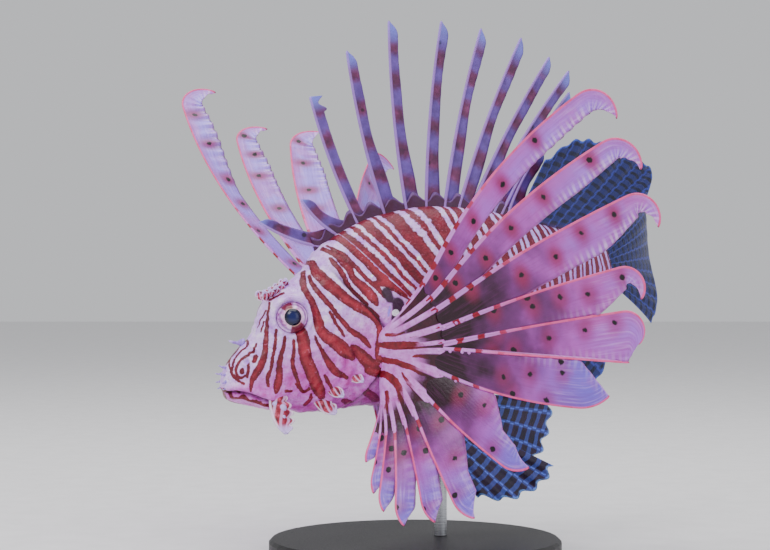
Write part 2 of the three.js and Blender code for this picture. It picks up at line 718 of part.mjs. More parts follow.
const material = (color, roughness, metalness = 0) => new THREE.MeshStandardMaterial({ color, roughness, metalness });
const SKIN = material(0xb04a5c, 0.45);
const FIN = material(0xc48fd0, 0.4);
const DARK_FIN = material(0x3c4a78, 0.4);
const EYEBALL = material(0x14204a, 0.1);
const BASE = material(0x22201f, 0.5);
const STEEL = material(0xb8bcc0, 0.3, 1);

function mesh(name, solid, look) {
  const made = new THREE.Mesh(toGeometry(solid), look);
  made.name = name;
  return made;
}

const body = bodySolid(GAP);
const clearOfBody = (solid) => largest(solid.subtract(body));

const fish = new THREE.Group();
fish.position.set(...SNOUT);
fish.rotation.set(0, rad(-NOSE_DOWN_DEG), rad(YAW_DEG), "ZYX");

const { head, jaw, torso, tail } = fleshPieces();
const sockets = eyeSolid(-1, GAP).add(eyeSolid(1, GAP));
const jawRoom = swollen(jaw);
const trimmings = [-1, 1].flatMap((side) => [
  eyeRing(side),
  ...(side < 0 ? FRONDS : FRONDS_RIGHT).map((shape) => frond(shape, side)),
  ...CIRRI.map((shape) => cirrus(shape, side)),
]);
const dressedHead = joined([head, upperLip(), ...trimmings]).subtract(sockets).subtract(jawRoom);
fish.add(mesh("head", largest(dressedHead), SKIN));
fish.add(mesh("lower_jaw", largest(jaw), SKIN));
fish.add(mesh("torso", largest(torso), SKIN));
fish.add(mesh("tail", largest(tail), SKIN));
fish.add(mesh("eye_left", eyeSolid(-1, 0), EYEBALL));
fish.add(mesh("eye_right", eyeSolid(1, 0), EYEBALL));
const spines = [dorsalStrip(), ...dorsalVanes()];
const softDorsal = spines.slice(-3).reduce((fin, piece) => fin.subtract(swollen(piece)), softDorsalFin());
fish.add(mesh("dorsal_spines", clearOfBody(joined(spines)), FIN));
fish.add(mesh("soft_dorsal_fin", clearOfBody(softDorsal), DARK_FIN));
fish.add(mesh("anal_fin", clearOfBody(analFin()), DARK_FIN));
fish.add(mesh("tail_fin", clearOfBody(caudalFin()), DARK_FIN));
fish.add(mesh("pelvic_fin_left", clearOfBody(pelvicFin(PELVIC_LEFT, -1)), DARK_FIN));
fish.add(mesh("pelvic_fin_right", clearOfBody(pelvicFin(PELVIC_RIGHT, 1)), DARK_FIN));
fish.add(mesh("pectoral_fin_left", clearOfBody(pectoralFin(PECTORAL_LEFT, -1)), FIN));
fish.add(mesh("pectoral_fin_right", clearOfBody(pectoralFin(PECTORAL_RIGHT, 1)), FIN));

fish.updateMatrixWorld(true);
const placedBody = toSolid(toGeometry(body).applyMatrix4(fish.matrixWorld));
const model = new THREE.Group();
model.add(fish);
model.add(mesh("stand_base", standBase(), BASE));
model.add(mesh("stand_rod", largest(standRod(90).subtract(placedBody)), STEEL));

export default model;
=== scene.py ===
"""A red lionfish, life size and still, on a plain display stand: skin, eyes, fins, stand, light and camera.

Sizes are in millimetres in the fish's own frame: x from the snout towards the tail, y to its right, z up.
"""
import math

import bpy
import numpy as np
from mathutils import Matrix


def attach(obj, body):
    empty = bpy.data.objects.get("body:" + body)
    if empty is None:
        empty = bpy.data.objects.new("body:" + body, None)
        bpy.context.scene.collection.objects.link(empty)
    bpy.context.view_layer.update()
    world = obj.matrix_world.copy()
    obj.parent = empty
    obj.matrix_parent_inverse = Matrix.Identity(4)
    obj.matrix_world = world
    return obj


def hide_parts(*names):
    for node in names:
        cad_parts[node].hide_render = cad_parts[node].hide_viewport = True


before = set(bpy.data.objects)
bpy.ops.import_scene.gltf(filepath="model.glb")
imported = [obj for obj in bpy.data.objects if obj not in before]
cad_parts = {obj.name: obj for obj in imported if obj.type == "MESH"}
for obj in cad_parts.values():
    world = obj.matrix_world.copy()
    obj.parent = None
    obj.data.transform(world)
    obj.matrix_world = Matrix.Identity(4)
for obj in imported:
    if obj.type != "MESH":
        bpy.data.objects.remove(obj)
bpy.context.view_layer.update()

# Sizes.

SNOUT = np.array([-87.3, -29.5, 80.5])
YAW = math.radians(20)
NOSE_DOWN = math.radians(16.5)
BEND_START = 110
TAIL_BASE = 211
BEND_RADIUS = 280
FIN_BEND_RADIUS = 120
# Power of the body's round sections, a little fuller than an ellipse.
FULLNESS = 0.95
# A distance that counts as away from every line and spot.
FAR = 30.0

# Body sections: distance from the snout, back, belly, half width, height of the widest point.
BODY = np.array([
    [-0.5, 1, -6, 2.5, -2.5], [2, 5.5, -8.6, 6, -2.5], [6, 9.5, -11, 8.6, -2], [12, 13.6, -14.2, 11.2, -1],
    [19, 17.5, -17.6, 13.4, 1], [25, 25, -20.2, 14.4, 3], [31, 32, -22.4, 15, 5], [40, 34.6, -25.2, 15.8, 6],
    [49, 38, -27, 17, 6], [60, 46, -29, 18.4, 5], [74, 50.5, -33, 19.4, 3], [90, 52.8, -35, 19, 3],
    [110, 51.6, -34, 17.4, 4], [130, 46.4, -30, 14.4, 5], [150, 38.4, -25.5, 11.2, 4],
    [170, 28, -20.8, 8.2, 2], [190, 18, -17.2, 5.8, 0], [204, 11.6, -15.6, 4.2, -2],
    [TAIL_BASE, 9.6, -15, 2.8, -2.6],
])
BACK, BELLY, HALF_WIDTH, WIDEST = 1, 2, 3, 4
# The skin has its finest rows up to here.
HEAD_END = 78

GILL_EDGE = [
    [54, 62], [57, 44], [63, 28], [71, 12], [75, 1], [73, -7], [67, -15], [57, -22.5], [46, -27], [40, -36],
]
MOUTH = [[-8, -2.6], [2, -3.6], [8, -6.2], [13, -9.6], [17.5, -12.4], [20, -15]]
CHEEK_RIDGE = [[24, 7], [32, 4], [41, 4], [50, 6], [56, 10]]
CHEEK_PLATE = [[50, 16], [54, 6], [56.5, -3], [53, -12], [46, -18], [36, -22], [28, -22.5]]

EYE = {"place": (37.2, 9, 20.5), "radius": 7.8, "look": (-0.16, 0.97, 0.12)}
# Height of the skin's rim over the middle of the eye, at each distance from the eye's axis.
ORBIT_RADII = [0, 6.9, 7.5, 8.2, 9.1, 10.3, 12]
ORBIT_HEIGHTS = [1, 1.9, 3.9, 5, 5.1, 4, 1.5]
# Edge of the pupil in degrees from the eye's axis, and where round the eye its red bar is, in radians.
PUPIL = 31.0
BAR_CLOCK = 0.45
NOSTRILS = [(11.5, 7.8), (16, 11)]

DORSAL_SPINES = [
    (63, 31, 144, 6), (72.5, 24, 124, -2), (83, 62, 94, 5), (97, 77, 88.5, -2), (108, 88.5, 78, 4),
    (118, 88, 68, 1.5), (127, 89, 59, 4), (134, 91, 49.5, 3.5), (140, 92, 40, 7), (146, 89, 36, 5),
    (151.5, 80, 34, 7), (155.5, 59, 36, 4), (158.5, 41, 40, 3),
]
FRAYED_SPINE = 2
SPINE_SINK = 4
SOFT_DORSAL = {
    "rays": 11, "lean": -10, "lengths": [30, 43, 49, 54, 60, 60, 34], "angles": [49, 47, 41, 31, 22, 16, 10],
}
ANAL = {"rays": 7, "lean": 0, "lengths": [26, 38, 42, 38, 26], "angles": [-76, -68, -60, -50, -38]}
CAUDAL = {"rays": 13, "lean": 3, "lengths": [50, 56, 56, 51, 45, 38], "angles": [36, 20, 6, -10, -27, -46]}
PELVIC_LEFT = {"rays": 6, "splay": 9, "lengths": [58, 69, 76, 74], "angles": [-67, -60, -51, -44]}
PELVIC_RIGHT = {"rays": 6, "splay": 13, "lengths": [78, 90, 92, 86], "angles": [-45, -36, -27, -18]}

# Pectoral rays from the top: angle, lift, length, sway, bow, hook, free web near the root and near the tip.
PECTORAL_LEFT = [
    (41.7, 40, 154, 20, 26, 125, 11, 11), (32.7, 45, 151, 20, 18, 130, 12, 12),
    (20.2, 48, 147, 8, 8, 140, 17, 17), (4, 50, 130, 12, 6, 145, 20, 18),
    (-8.2, 50, 126, 14, 2, 146, 26, 23), (-19.5, 50, 119, 6, 0, 0, 1.2, 1.2),
    (-29.6, 48, 110, 4, 18, 46, 28, 26), (-63, 42, 87, 0, 8, 62, 32, 13),
    (-87.8, 34, 86, 10, 2, 52, 21, 12), (-99.2, 28, 78, 2, -6, 48, 14, 10),
    (-109.6, 24, 75, 0, -8, 44, 11, 9), (-116.2, 20, 66, 0, -8, 40, 8, 7),
    (-120.7, 17, 56, 0, -6, 34, 6, 6), (-128.4, 15, 41, 0, -6, 28, 5, 5),
]
PECTORAL_RIGHT = [
    (98.5, 37, 163, -8, 28, 125, 14, 14), (86, 47, 154, 0, 22, 115, 14, 14),
    (70, 47.5, 152, 0, 18, 95, 17, 17), (46, 44, 146, 0, 30, 90, 20, 18),
    (27, 48, 132, 4, 10, 120, 26, 23), (8, 50, 119, 4, 0, 0, 1.2, 1.2),
    (-10, 48, 111, 4, 18, 46, 28, 26), (-32, 42, 90, 0, 8, 62, 32, 13),
    (-48, 35, 86, 4, 2, 52, 21, 12), (-58, 30, 78, 2, -6, 48, 14, 10),
    (-66, 26, 75, 0, -8, 44, 11, 9), (-73, 22, 66, 0, -8, 40, 8, 7),
    (-80, 19, 56, 0, -6, 34, 6, 6), (-88, 16, 41, 0, -6, 28, 5, 5),
]
FIRST_WEB_TURN = {-1: 0, 1: -35}
CENTRE_RAY = 5
FULL_WEB = 20
HOOK_START = 0.85
HOOK_TOP = 0.92
NARROW_START = 0.7
LEAST_WEB = 0.6
# A ray's path has this many steps. Where its hook turns by more than so many degrees, its length is
# measured to the step where the hook is at its top.
RAY_STEPS = 80
DEEP_HOOK = 80
HOOK_STEP = 74
# Distance and height of the first and the last ray's root on the flank.
FIRST_ROOT = (74.5, 4.0)
LAST_ROOT = (72.0, -19.0)
# Thickness of the fleshy root at each distance along its rays.
LOBE_REACHES = [-4, 6, 13, 20, 27, 31]
LOBE_THICKNESSES = [8, 8, 6, 3.6, 1.1, 0.3]

# Courses of the pale pairs on the flank, from the gill cover back, and of the red bars on the head,
# as distance and height, each with its number in the row of bars.
BAR_COURSES = {
    0: [(50.8, 35.4), (52.3, 28.6), (53.1, 23.4), (54.4, 17.5), (60.8, 13.7), (66.2, 2.4)],
    1: [(59.6, 41.6), (61.2, 36.5), (63.2, 31.3), (65.6, 26.4), (68, 21), (71.7, 15.3)],
    2: [(65.2, 46.8), (68, 43.6), (70.5, 38.4), (73.3, 32.9), (75.2, 27.7), (78.8, 21.6)],
    3: [(79, 50.2), (81.1, 46.4), (83.2, 41.9), (85.5, 37.1), (88.1, 31.9), (91.1, 25.5), (95.4, 17.9)],
    4: [(89.8, 50.5), (92.1, 46.6), (94.4, 41.6), (96.3, 36.1), (98.4, 31), (101.7, 23.7)],
    5: [(107.1, 49), (109.2, 46), (110.7, 40.8), (112.4, 30.3)],
    6: [(124.7, 47.4), (125.4, 43), (125.9, 38.4)],
    7: [(134.5, 43), (137.6, 31.5), (136.7, 26.8)],
    8: [(149.6, 35.9), (149.7, 31.6), (150, 15.5)],
    9: [(157.4, 20.7), (157.1, 16.4)],
    10: [(167.3, 23.5), (167.5, 17.1)],
    11: [(174.7, 24.3), (175.2, 20.6)],
    12: [(183.1, 2.3), (180.4, -4.5)],
    13: [(191, 3.8), (188.1, -3)],
    14: [(197.7, 5.8), (194.2, -2.2)],
    0.5: [(53.1, 38.2), (55.7, 30), (59.8, 23.1), (66.1, 15.5), (72, 8), (71.9, 1.8)],
    -0.5: [
        (46.3, 32.8), (46.3, 21.5), (45.2, 13.3), (49.6, 5.2), (53.5, -1.8), (58, -4.3), (62.8, -6.4),
        (66, -10.3),
    ],
    -1: [(43.6, 4.1), (44.9, -4.3), (47.2, -9.6), (51.3, -12.1)],
    -1.5: [(38.2, 12), (37, 3.3), (38.4, -7.5), (40.8, -17.6)],
    -2: [(31.3, 5.6), (30.3, -0.3), (29.6, -5.8)],
    -2.5: [(29.3, 13.6), (26.7, 6.5), (23.2, -1), (20.4, -7.6)],
    -3: [(25.9, 14.6), (23.4, 7.5), (19.6, 0.1), (17.3, -4.9)],
    -3.5: [(30.8, 30.6), (26.9, 23.3), (22.1, 13.4), (16.9, 3.8), (12, -2.1)],
    -4.5: [(20.5, 17), (15.5, 9.5), (9.5, 2), (6, -2.5)],
    -5.5: [(12, 12.5), (8, 7), (3.5, 1)],
    15.2: [(204, -12), (204, 8)],
    16.2: [(211, -12), (211, 8)],
}
# Heights count less than lengths, because the bars run mostly up and down.
HEIGHT_SHARE = 0.75
BAR_SMOOTHING = 60.0
# Bars with lower numbers than this follow RED_STRIPES.
TRACED_BARS = 2.5

# Red stripes of the head and shoulder, on the flank, as distance, height and half width in millimetres.
RED_STRIPES = [
    [
        (30, 29.6, 0.8), (27.3, 24.8, 0.8), (24.4, 18.7, 1.1), (21.5, 12.6, 1.4), (19.1, 7.8, 1.6),
        (16, 4.1, 1.7), (13, 1.3, 1.7), (10.8, -1.4, 1.1), (9.7, -4.8, 0.6),
    ],
    [
        (27.8, 17.8, 0.7), (25.2, 11.6, 0.8), (22.6, 6.8, 0.8), (20.4, 2.3, 0.8), (17.9, -1.6, 1),
        (17.2, -5.1, 0.7),
    ],
    [
        (30.4, 13.7, 0.8), (28.9, 10.5, 0.8), (26.1, 6.1, 1.2), (24.2, 2.1, 1.4), (23.2, -1.9, 1.7),
        (21.4, -5.6, 1.9), (20.3, -8.1, 1.2),
    ],
    [
        (33.8, 11.2, 0.7), (32.5, 7.1, 0.8), (30.9, 3.7, 1), (30.1, 0.2, 1.1), (30.4, -3.6, 1.1),
        (30.7, -7.5, 0.8), (31.5, -11.1, 0.8),
    ],
    [
        (37.7, 17.2, 2), (38.1, 11.3, 2.9), (37.3, 7, 2.9), (36.7, 1.9, 3), (37.4, -3.1, 3),
        (38.2, -8.1, 3), (39.2, -13.1, 2.9), (40.3, -16.9, 2.2), (40.4, -18.8, 1),
    ],
    [
        (43.4, 10.2, 0.6), (43.7, 6.5, 0.8), (44.6, 2.9, 1.1), (45.6, -0.8, 1.4), (46.9, -5, 1.9),
        (48.9, -8.9, 1.7), (52.6, -12, 1.1),
    ],
    [(43.3, -8.6, 0.8), (44.4, -12.4, 1), (45.8, -16.1, 0.8)],
    [
        (50.1, 38.2, 1.3), (47.2, 33.9, 1.6), (46.6, 29.9, 1.6), (47.1, 26, 1.7), (47.1, 21.3, 1.9),
        (46.9, 16.6, 2.2), (46.8, 11.9, 2.5), (48.1, 8.9, 2.8), (50.6, 5.7, 2.9), (53, 2.5, 3.2),
        (54.9, -0.8, 2.9), (57.1, -3.8, 1.6),
    ],
    [(58.2, 0.6, 1.3), (60.3, -2.4, 2.4), (62.3, -6, 2.9), (64.6, -9, 2.6), (67.8, -9.6, 1.3)],
    [
        (50.9, 36.1, 0.8), (50.5, 32.4, 1.1), (51.4, 28.4, 1.3), (52.4, 25.3, 1.3), (53.6, 22.6, 1.2),
        (54.8, 19.5, 1.1), (56, 15.7, 1.1), (57.6, 12.1, 1.2), (59.3, 8.3, 1.3), (61.5, 5.7, 1.4),
        (63.3, 3.7, 1.3), (64.9, 0.8, 1.3), (66.1, -1.8, 0.8),
    ],
    [(53.2, 18.4, 0.8), (53.6, 15.6, 0.8), (54.1, 12.6, 0.8), (55.3, 9, 0.8), (56, 6.3, 0.6)],
    [
        (53.9, 41.6, 1.1), (54.6, 40.7, 1.9), (54.1, 37.5, 2.4), (55.1, 34.3, 2.6), (56.6, 30.6, 2.8),
        (58.9, 26.6, 2.6), (61.2, 22.7, 2.4), (63.9, 19.2, 2.3), (66.7, 16.2, 2.3), (69.7, 13.6, 2.4),
        (72.1, 10, 2.2), (72.5, 6.2, 1.6), (71.3, 1.7, 1.3), (69.4, -2.5, 1.1), (68.1, -5.9, 0.8),
    ],
    [
        (62.2, 41.2, 0.8), (62.8, 38.7, 1.3), (63.8, 35.6, 1.3), (64.5, 32.6, 1.2), (64.7, 29.6, 1.1),
        (65.3, 26.2, 1.2), (66.6, 23.1, 1.1), (68.5, 20, 1.1), (70.4, 17.2, 0.8),
    ],
    [
        (61.5, 45.8, 1.1), (63.6, 43.7, 1.3), (65.5, 41.3, 1.6), (66.7, 37.9, 1.9), (68.1, 34.6, 1.9),
        (68.1, 30.9, 1.6), (69.3, 27.7, 1.9), (71.2, 24.8, 2.3), (72.6, 22.2, 2.5), (74, 19, 2.4),
        (74.8, 15.9, 1.3),
    ],
    [
        (64, 46.5, 0.7), (65.9, 44, 0.8), (68.3, 41.3, 1.1), (69.8, 37.5, 1.1), (71.6, 33.8, 1.1),
        (73.1, 30, 1.1), (74.5, 27.1, 1.1), (76.4, 24.2, 1.1), (78.2, 21, 1.1), (79.5, 17.6, 0.8),
    ],
    [
        (67.8, 48.9, 1.3), (70.2, 48.9, 2.4), (72.2, 46.9, 2.9), (74.1, 43.4, 3.2), (76.1, 39.5, 3.4),
        (78.3, 35.6, 3.5), (80.4, 31.1, 3.7), (82.7, 26.3, 3.5), (84, 21.6, 2.4),
    ],
    [
        (77.9, 51.1, 0.8), (78.3, 48.4, 1.1), (80, 45.5, 1.2), (81.9, 42.6, 1.1), (83.8, 39.1, 1.2),
        (85.9, 35.7, 1.1), (87.5, 33.4, 0.8),
    ],
    [(27.6, 26.6, 0.6), (24.7, 23.6, 0.7), (22.3, 20.5, 0.6)],
    [(24.9, 22.2, 0.6), (22.2, 18.4, 0.6)],
    [
        (18.3, 13.9, 0.6), (16.4, 11.7, 0.7), (12.8, 10.1, 0.8), (9.9, 9, 0.8), (7.4, 7, 0.8), (6.2, 5, 0.8),
        (6.2, 2.7, 0.8), (7.1, 1.5, 0.7), (8.9, 2, 0.7),
    ],
    [(16.6, 16, 0.6), (14.6, 13.6, 0.7), (11.8, 12.6, 0.7), (8.8, 10.6, 0.7), (6.7, 8.6, 0.7), (5, 5.8, 0.7)],
    [
        (15.7, 15.5, 0.6), (12.8, 14.1, 0.6), (10.1, 12.4, 0.6), (7.4, 10.6, 0.6), (5.2, 8.4, 0.6),
        (4.6, 5.9, 0.6),
    ],
    [(12.8, 14.1, 0.5), (9.7, 12.1, 0.6), (7, 10.3, 0.6), (4.6, 8.3, 0.5)],
    [(15.9, 8.7, 1.1), (14.6, 7.3, 1.1)],
    [(8.7, 4.8, 1.1), (8.3, 4, 1.1)],
    [(12.1, 6.5, 0.7), (10.8, 3.8, 0.7), (9.6, 1.3, 0.7)],
    [(4.3, 5.1, 0.7), (5.1, 1.6, 0.7), (7.5, -1.3, 0.6)],
    [(31, 30.7, 0.8), (34.2, 31.6, 0.8), (37.3, 31.7, 0.8)],
    [(31.2, 32.1, 1.1), (33.3, 32.9, 1.1)],
    [
        (-0.5, -1.4, 0.7), (0.2, -2.6, 0.8), (1.5, -4.4, 0.8), (2.5, -6.1, 0.8), (4, -6.5, 0.8),
        (6.1, -6.6, 0.8), (8.3, -8.8, 0.8), (11.2, -10.1, 0.8), (13.7, -11.9, 0.8), (16.2, -13.1, 0.7),
        (18.8, -15, 0.7),
    ],
    [(-0.5, -4.6, 0.7), (-0.1, -6.5, 0.8), (2.3, -8.6, 0.8), (5.3, -10.6, 0.7), (8.9, -12.6, 0.7)],
    [(3.6, -3.5, 0.8), (4.8, -4.3, 0.8)],
    [(29.7, -8.2, 0.6), (31, -11.1, 0.8), (32.6, -12.9, 0.8), (35, -12.3, 0.8)],
    [(24.5, -9.8, 0.8), (26.8, -10.6, 0.8)],
    [(35.6, -15, 0.8), (34.9, -17.7, 1.1), (32.6, -18.9, 1.1)],
    [(53.4, -24.6, 1.9), (50.5, -22.1, 1.6)],
    [(60.9, -22, 1.9), (63.6, -24.8, 2.2), (65.6, -27.6, 1.9)],
    [(70.8, -2.5, 1.9), (73.6, -3.2, 2.2)],
    [(68.3, -7.4, 1.3), (71.2, -9.6, 1.9)],
    [(63.1, -11.4, 2.2), (66.6, -13.4, 2.6), (69.9, -15.9, 2.6)],
    [(77.4, 24.5, 1.6), (83, 23.3, 2), (87.5, 18.5, 2.2), (91.3, 14.7, 2)],
]

# Hollow behind the gill cover: its dark patches and the pale lines round them, in the same way.
ARMPIT = [
    [(81, 19.4, 2.6), (81.4, 16.5, 2.2)],
    [(84.6, 13, 3), (84, 9.6, 3.3), (82, 6.8, 2.8)],
    [(79.6, 4.6, 1.4), (77.4, 4.2, 1.2)],
]
ARMPIT_RIM = [[(80.6, 13, 0.3), (79.4, 10.8, 0.6), (78.2, 8.6, 0.3)]]
# White spots on the flank: distance, height, half length and half height.
WHITE_SPOTS = [(82.2, 9.4, 2, 1.6), (101.5, 29.6, 1.3, 1), (76.9, 28.4, 0.8, 0.7)]

# Red stripes of a pectoral fin's fleshy root, as ray number, distance from the root and half width.
LOBE_STRIPES = [
    [
        (3.6, -0.4, 1.2), (3.7, 3.8, 1.5), (3.8, 9.7, 1.7), (3.9, 14.9, 1.7), (4, 19, 1.4),
        (4.3, 22.7, 0.8), (4.3, 28.4, 0.4),
    ],
    [
        (7.3, -1.6, 0.8), (6.9, 2.9, 1.2), (6.5, 7.1, 1.4), (6.4, 11.4, 1.4), (6.3, 15.8, 1.3),
        (6.3, 19.9, 1.3), (6.2, 24.9, 1.4), (6.2, 29.5, 1),
    ],
    [
        (10.2, -0.3, 1.2), (10.7, 0.9, 1.6), (8.9, 6.5, 1.8), (8.3, 10.9, 1.8), (8.2, 15.1, 1.6),
        (8.4, 18.4, 1.5), (8.7, 22.1, 1.5), (9.1, 25.3, 1.4),
    ],
    [(6.9, 12.8, 0.5), (7.1, 15.6, 0.8), (7.2, 20.2, 1), (7.1, 24.3, 1.2), (7, 29, 1.4)],
    [(1.9, 3.7, 0.8), (2.4, 8.2, 0.7), (2.5, 12.7, 0.5)],
    [(5.5, 15.5, 0.5), (5.4, 18.9, 0.8), (5.4, 23.6, 1.2), (5.4, 28.3, 1.2)],
    [(3.1, 15, 0.3), (3.2, 19.7, 0.6), (3.5, 25.2, 0.8)],
    [(7.7, 24.2, 0.6), (8, 26.4, 0.8)],
    [(10, 12.8, 0.8), (10.3, 16.7, 1), (10.8, 20.4, 1)],
]

# Lumps under the pectoral rays: ray number and distance from the root.
RAY_BEADS = [(3, 32), (3, 38.5), (3, 42.5), (5, 27.5), (5, 33), (5, 39), (5, 42.5), (6, 28.5), (6, 36.5)]

# Dark spots of the left pectoral fin: ray number, distance along the ray and place across its web.
LEFT_SPOTS = [
    (0, 104, 0.3), (0, 79, 0.6), (0, 57, 0.55), (0, 38, 0.45), (0, 24, 0.5), (1, 119, 0.3), (1, 92, 0.38),
    (1, 71, 0.45), (1, 52, 0.6), (1, 33, 0.5), (2, 115, 0.35), (2, 98, 0.3), (2, 83, 0.53), (2, 64, 0.5),
    (2, 38, 0.08), (3, 110, 0.45), (3, 92, 0.43), (3, 80, 0.33), (3, 64, 0.08), (3, 66, 0.4), (3, 47, 0.12),
    (4, 102, 0.2), (4, 88, 0.3), (4, 71, 0.43), (4, 54, 0.83), (4, 43, 1), (4, 46, 0), (6, 79, 0.93),
    (6, 80, 0.7), (6, 65, 0.6), (6, 52, 0.45), (6, 56, 0.1), (6, 73, 0.1), (7, 48, 0.7), (7, 61, 0.28),
    (7, 35, 0.68), (8, 34, 0.83), (8, 51, 0.6), (8, 65, 0.18), (9, 30, 0.93), (9, 41, 0.8), (9, 64, 0),
    (10, 37, 0.55), (10, 60, 0.03), (11, 33, 0.7), (11, 42, 0.5), (12, 37, 0), (12, 26, 0.4),
]


# The fish's shape.

def section(column, s):
    """A column of BODY at distance s, along a curve that never overshoots."""
    x, y = BODY[:, 0], BODY[:, column]
    s = np.clip(s, x[0], x[-1])
    slope = np.diff(y) / np.diff(x)
    product = slope[:-1] * slope[1:]
    total = slope[:-1] + slope[1:]
    inner = np.where(product > 0, 2 * product / np.where(total == 0, 1, total), 0)
    tangent = np.concatenate([slope[:1], inner, slope[-1:]])
    i = np.clip(np.searchsorted(x, s, side="left") - 1, 0, len(x) - 2)
    span = x[i + 1] - x[i]
    t = (s - x[i]) / span
    return (
        (1 + 2 * t) * (1 - t) ** 2 * y[i]
        + t * (1 - t) ** 2 * span * tangent[i]
        + t * t * (3 - 2 * t) * y[i + 1]
        + t * t * (t - 1) * span * tangent[i + 1]
    )


def backbone(s):
    """Place and heading of the backbone at distance s."""
    s = np.asarray(s, float)
    turn = (np.clip(s, BEND_START, TAIL_BASE) - BEND_START) / BEND_RADIUS
    more = np.maximum(s - TAIL_BASE, 0) / FIN_BEND_RADIUS
    x = np.minimum(s, BEND_START) + BEND_RADIUS * np.sin(turn)
    y = BEND_RADIUS * (1 - np.cos(turn))
    x = x + FIN_BEND_RADIUS * (np.sin(turn + more) - np.sin(turn))
    y = y + FIN_BEND_RADIUS * (np.cos(turn) - np.cos(turn + more))
    return x, y, turn + more


def fish_point(s, h, off=0.0):
    """A point at distance s and height h, and off mm to the right of the middle."""
    x, y, turn = backbone(s)
    s, h, off = np.broadcast_arrays(s, h, off)
    return np.stack([x - off * np.sin(turn), y + off * np.cos(turn), h + 0 * x], -1)


def direction(s, angle, lift):
    """A direction at distance s: angle above the tailward line, and lift to the right, in degrees."""
    turn = backbone(s)[2]
    angle, lift = np.radians(angle), np.radians(lift)
    back = np.stack([np.cos(turn), np.sin(turn), 0 * turn], -1)
    right = np.stack([-np.sin(turn), np.cos(turn), 0 * turn], -1)
    up = np.array([0.0, 0.0, 1.0])
    flat = np.cos(lift)
    shares = (flat * np.cos(angle), flat * np.sin(angle), np.sin(lift))
    return sum(way * share[..., None] for way, share in zip((back, up, right), shares))


def flank(s, h):
    """Half width of the body at distance s and height h."""
    widest = section(WIDEST, s)
    reach = np.where(h > widest, section(BACK, s) - widest, widest - section(BELLY, s))
    rise = np.clip((h - widest) / reach, -1, 1)
    return section(HALF_WIDTH, s) * np.sqrt(1 - rise * rise) ** FULLNESS


def skin_point(s, h, side, out=0.0):
    """A point out mm from the skin on one side, -1 for the left and 1 for the right."""
    return fish_point(s, h, side * (flank(s, h) + out))


def unit(vectors):
    return vectors / np.maximum(np.linalg.norm(vectors, axis=-1, keepdims=True), 1e-9)


def soft_step(x, low, high):
    t = np.clip((x - low) / (high - low), 0, 1)
    return t * t * (3 - 2 * t)


def mix(a, b, t):
    return a + (b - a) * t


def through(values, t):
    """Value at t, from 0 to 1, of a smooth curve through evenly spaced values."""
    values = np.asarray(values, float)
    x = np.clip(t, 0, 1) * (len(values) - 1)
    i = np.minimum(np.floor(x).astype(int), len(values) - 2)
    a, b, c, d = (values[np.clip(i + k, 0, len(values) - 1)] for k in (-1, 0, 1, 2))
    f = x - i
    return b + 0.5 * f * (c - a + f * (2 * a - 5 * b + 4 * c - d + f * (3 * (b - c) + d - a)))


def smooth_line(points, steps=60):
    points = np.array(points, float)
    t = np.linspace(0, 1, steps)
    return np.stack([through(points[:, 0], t), through(points[:, 1], t)], -1)


def line_gap(points, s, h):
    """Signed distance from a line on the flank, and how far along it, from 0 to 1."""
    line = smooth_line(points)
    nearest = np.full(s.shape, 1e9)
    along = np.zeros(s.shape)
    signed = np.zeros(s.shape)
    for k in range(len(line) - 1):
        a, b = line[k], line[k + 1]
        d = b - a
        t = np.clip(((s - a[0]) * d[0] + (h - a[1]) * d[1]) / (d @ d), 0, 1)
        ds, dh = s - a[0] - t * d[0], h - a[1] - t * d[1]
        gap = np.hypot(ds, dh)
        closer = gap < nearest
        nearest = np.where(closer, gap, nearest)
        along = np.where(closer, (k + t) / (len(line) - 1), along)
        signed = np.where(closer, np.sign(d[0] * dh - d[1] * ds) * gap, signed)
    return signed, along


def stripe_gap(points, stripes, place):
    """Distance in mm from the nearest stripe's edge, less than nothing inside it.

    Each stripe is a row of two coordinates and a half width, and place turns the coordinates into points.
    """
    nearest = np.full(points.shape[:-1], FAR)
    for stripe in stripes:
        stripe = np.array(stripe, float)
        t = np.linspace(0, 1, 4 * (len(stripe) - 1) + 1)
        first, second, half = (through(stripe[:, k], t) for k in range(3))
        line = place(first, second)
        for k in range(len(line) - 1):
            a, b = line[k], line[k + 1]
            d = b - a
            u = np.clip((points - a) @ d / max(d @ d, 1e-9), 0, 1)
            gap = np.linalg.norm(points - a - u[..., None] * d, axis=-1) - mix(half[k], half[k + 1], u)
            nearest = np.minimum(nearest, gap)
    return nearest


def bump_at(distance, centre, width):
    return np.exp(-(((distance - centre) / width) ** 2))


def to_room(points):
    """From the fish's frame in millimetres to the stand's frame in metres."""
    down, turn = -NOSE_DOWN, YAW
    tilt = np.array([[math.cos(down), 0, math.sin(down)], [0, 1, 0], [-math.sin(down), 0, math.cos(down)]])
    yaw = np.array([[math.cos(turn), -math.sin(turn), 0], [math.sin(turn), math.cos(turn), 0], [0, 0, 1]])
    return (points @ (yaw @ tilt).T + SNOUT) * 0.001


# Making meshes.

# Points nearer than this are one, and shorter edges are closed up, in metres.
MERGE_WITHIN = 2e-6
LEAST_EDGE = 1e-7


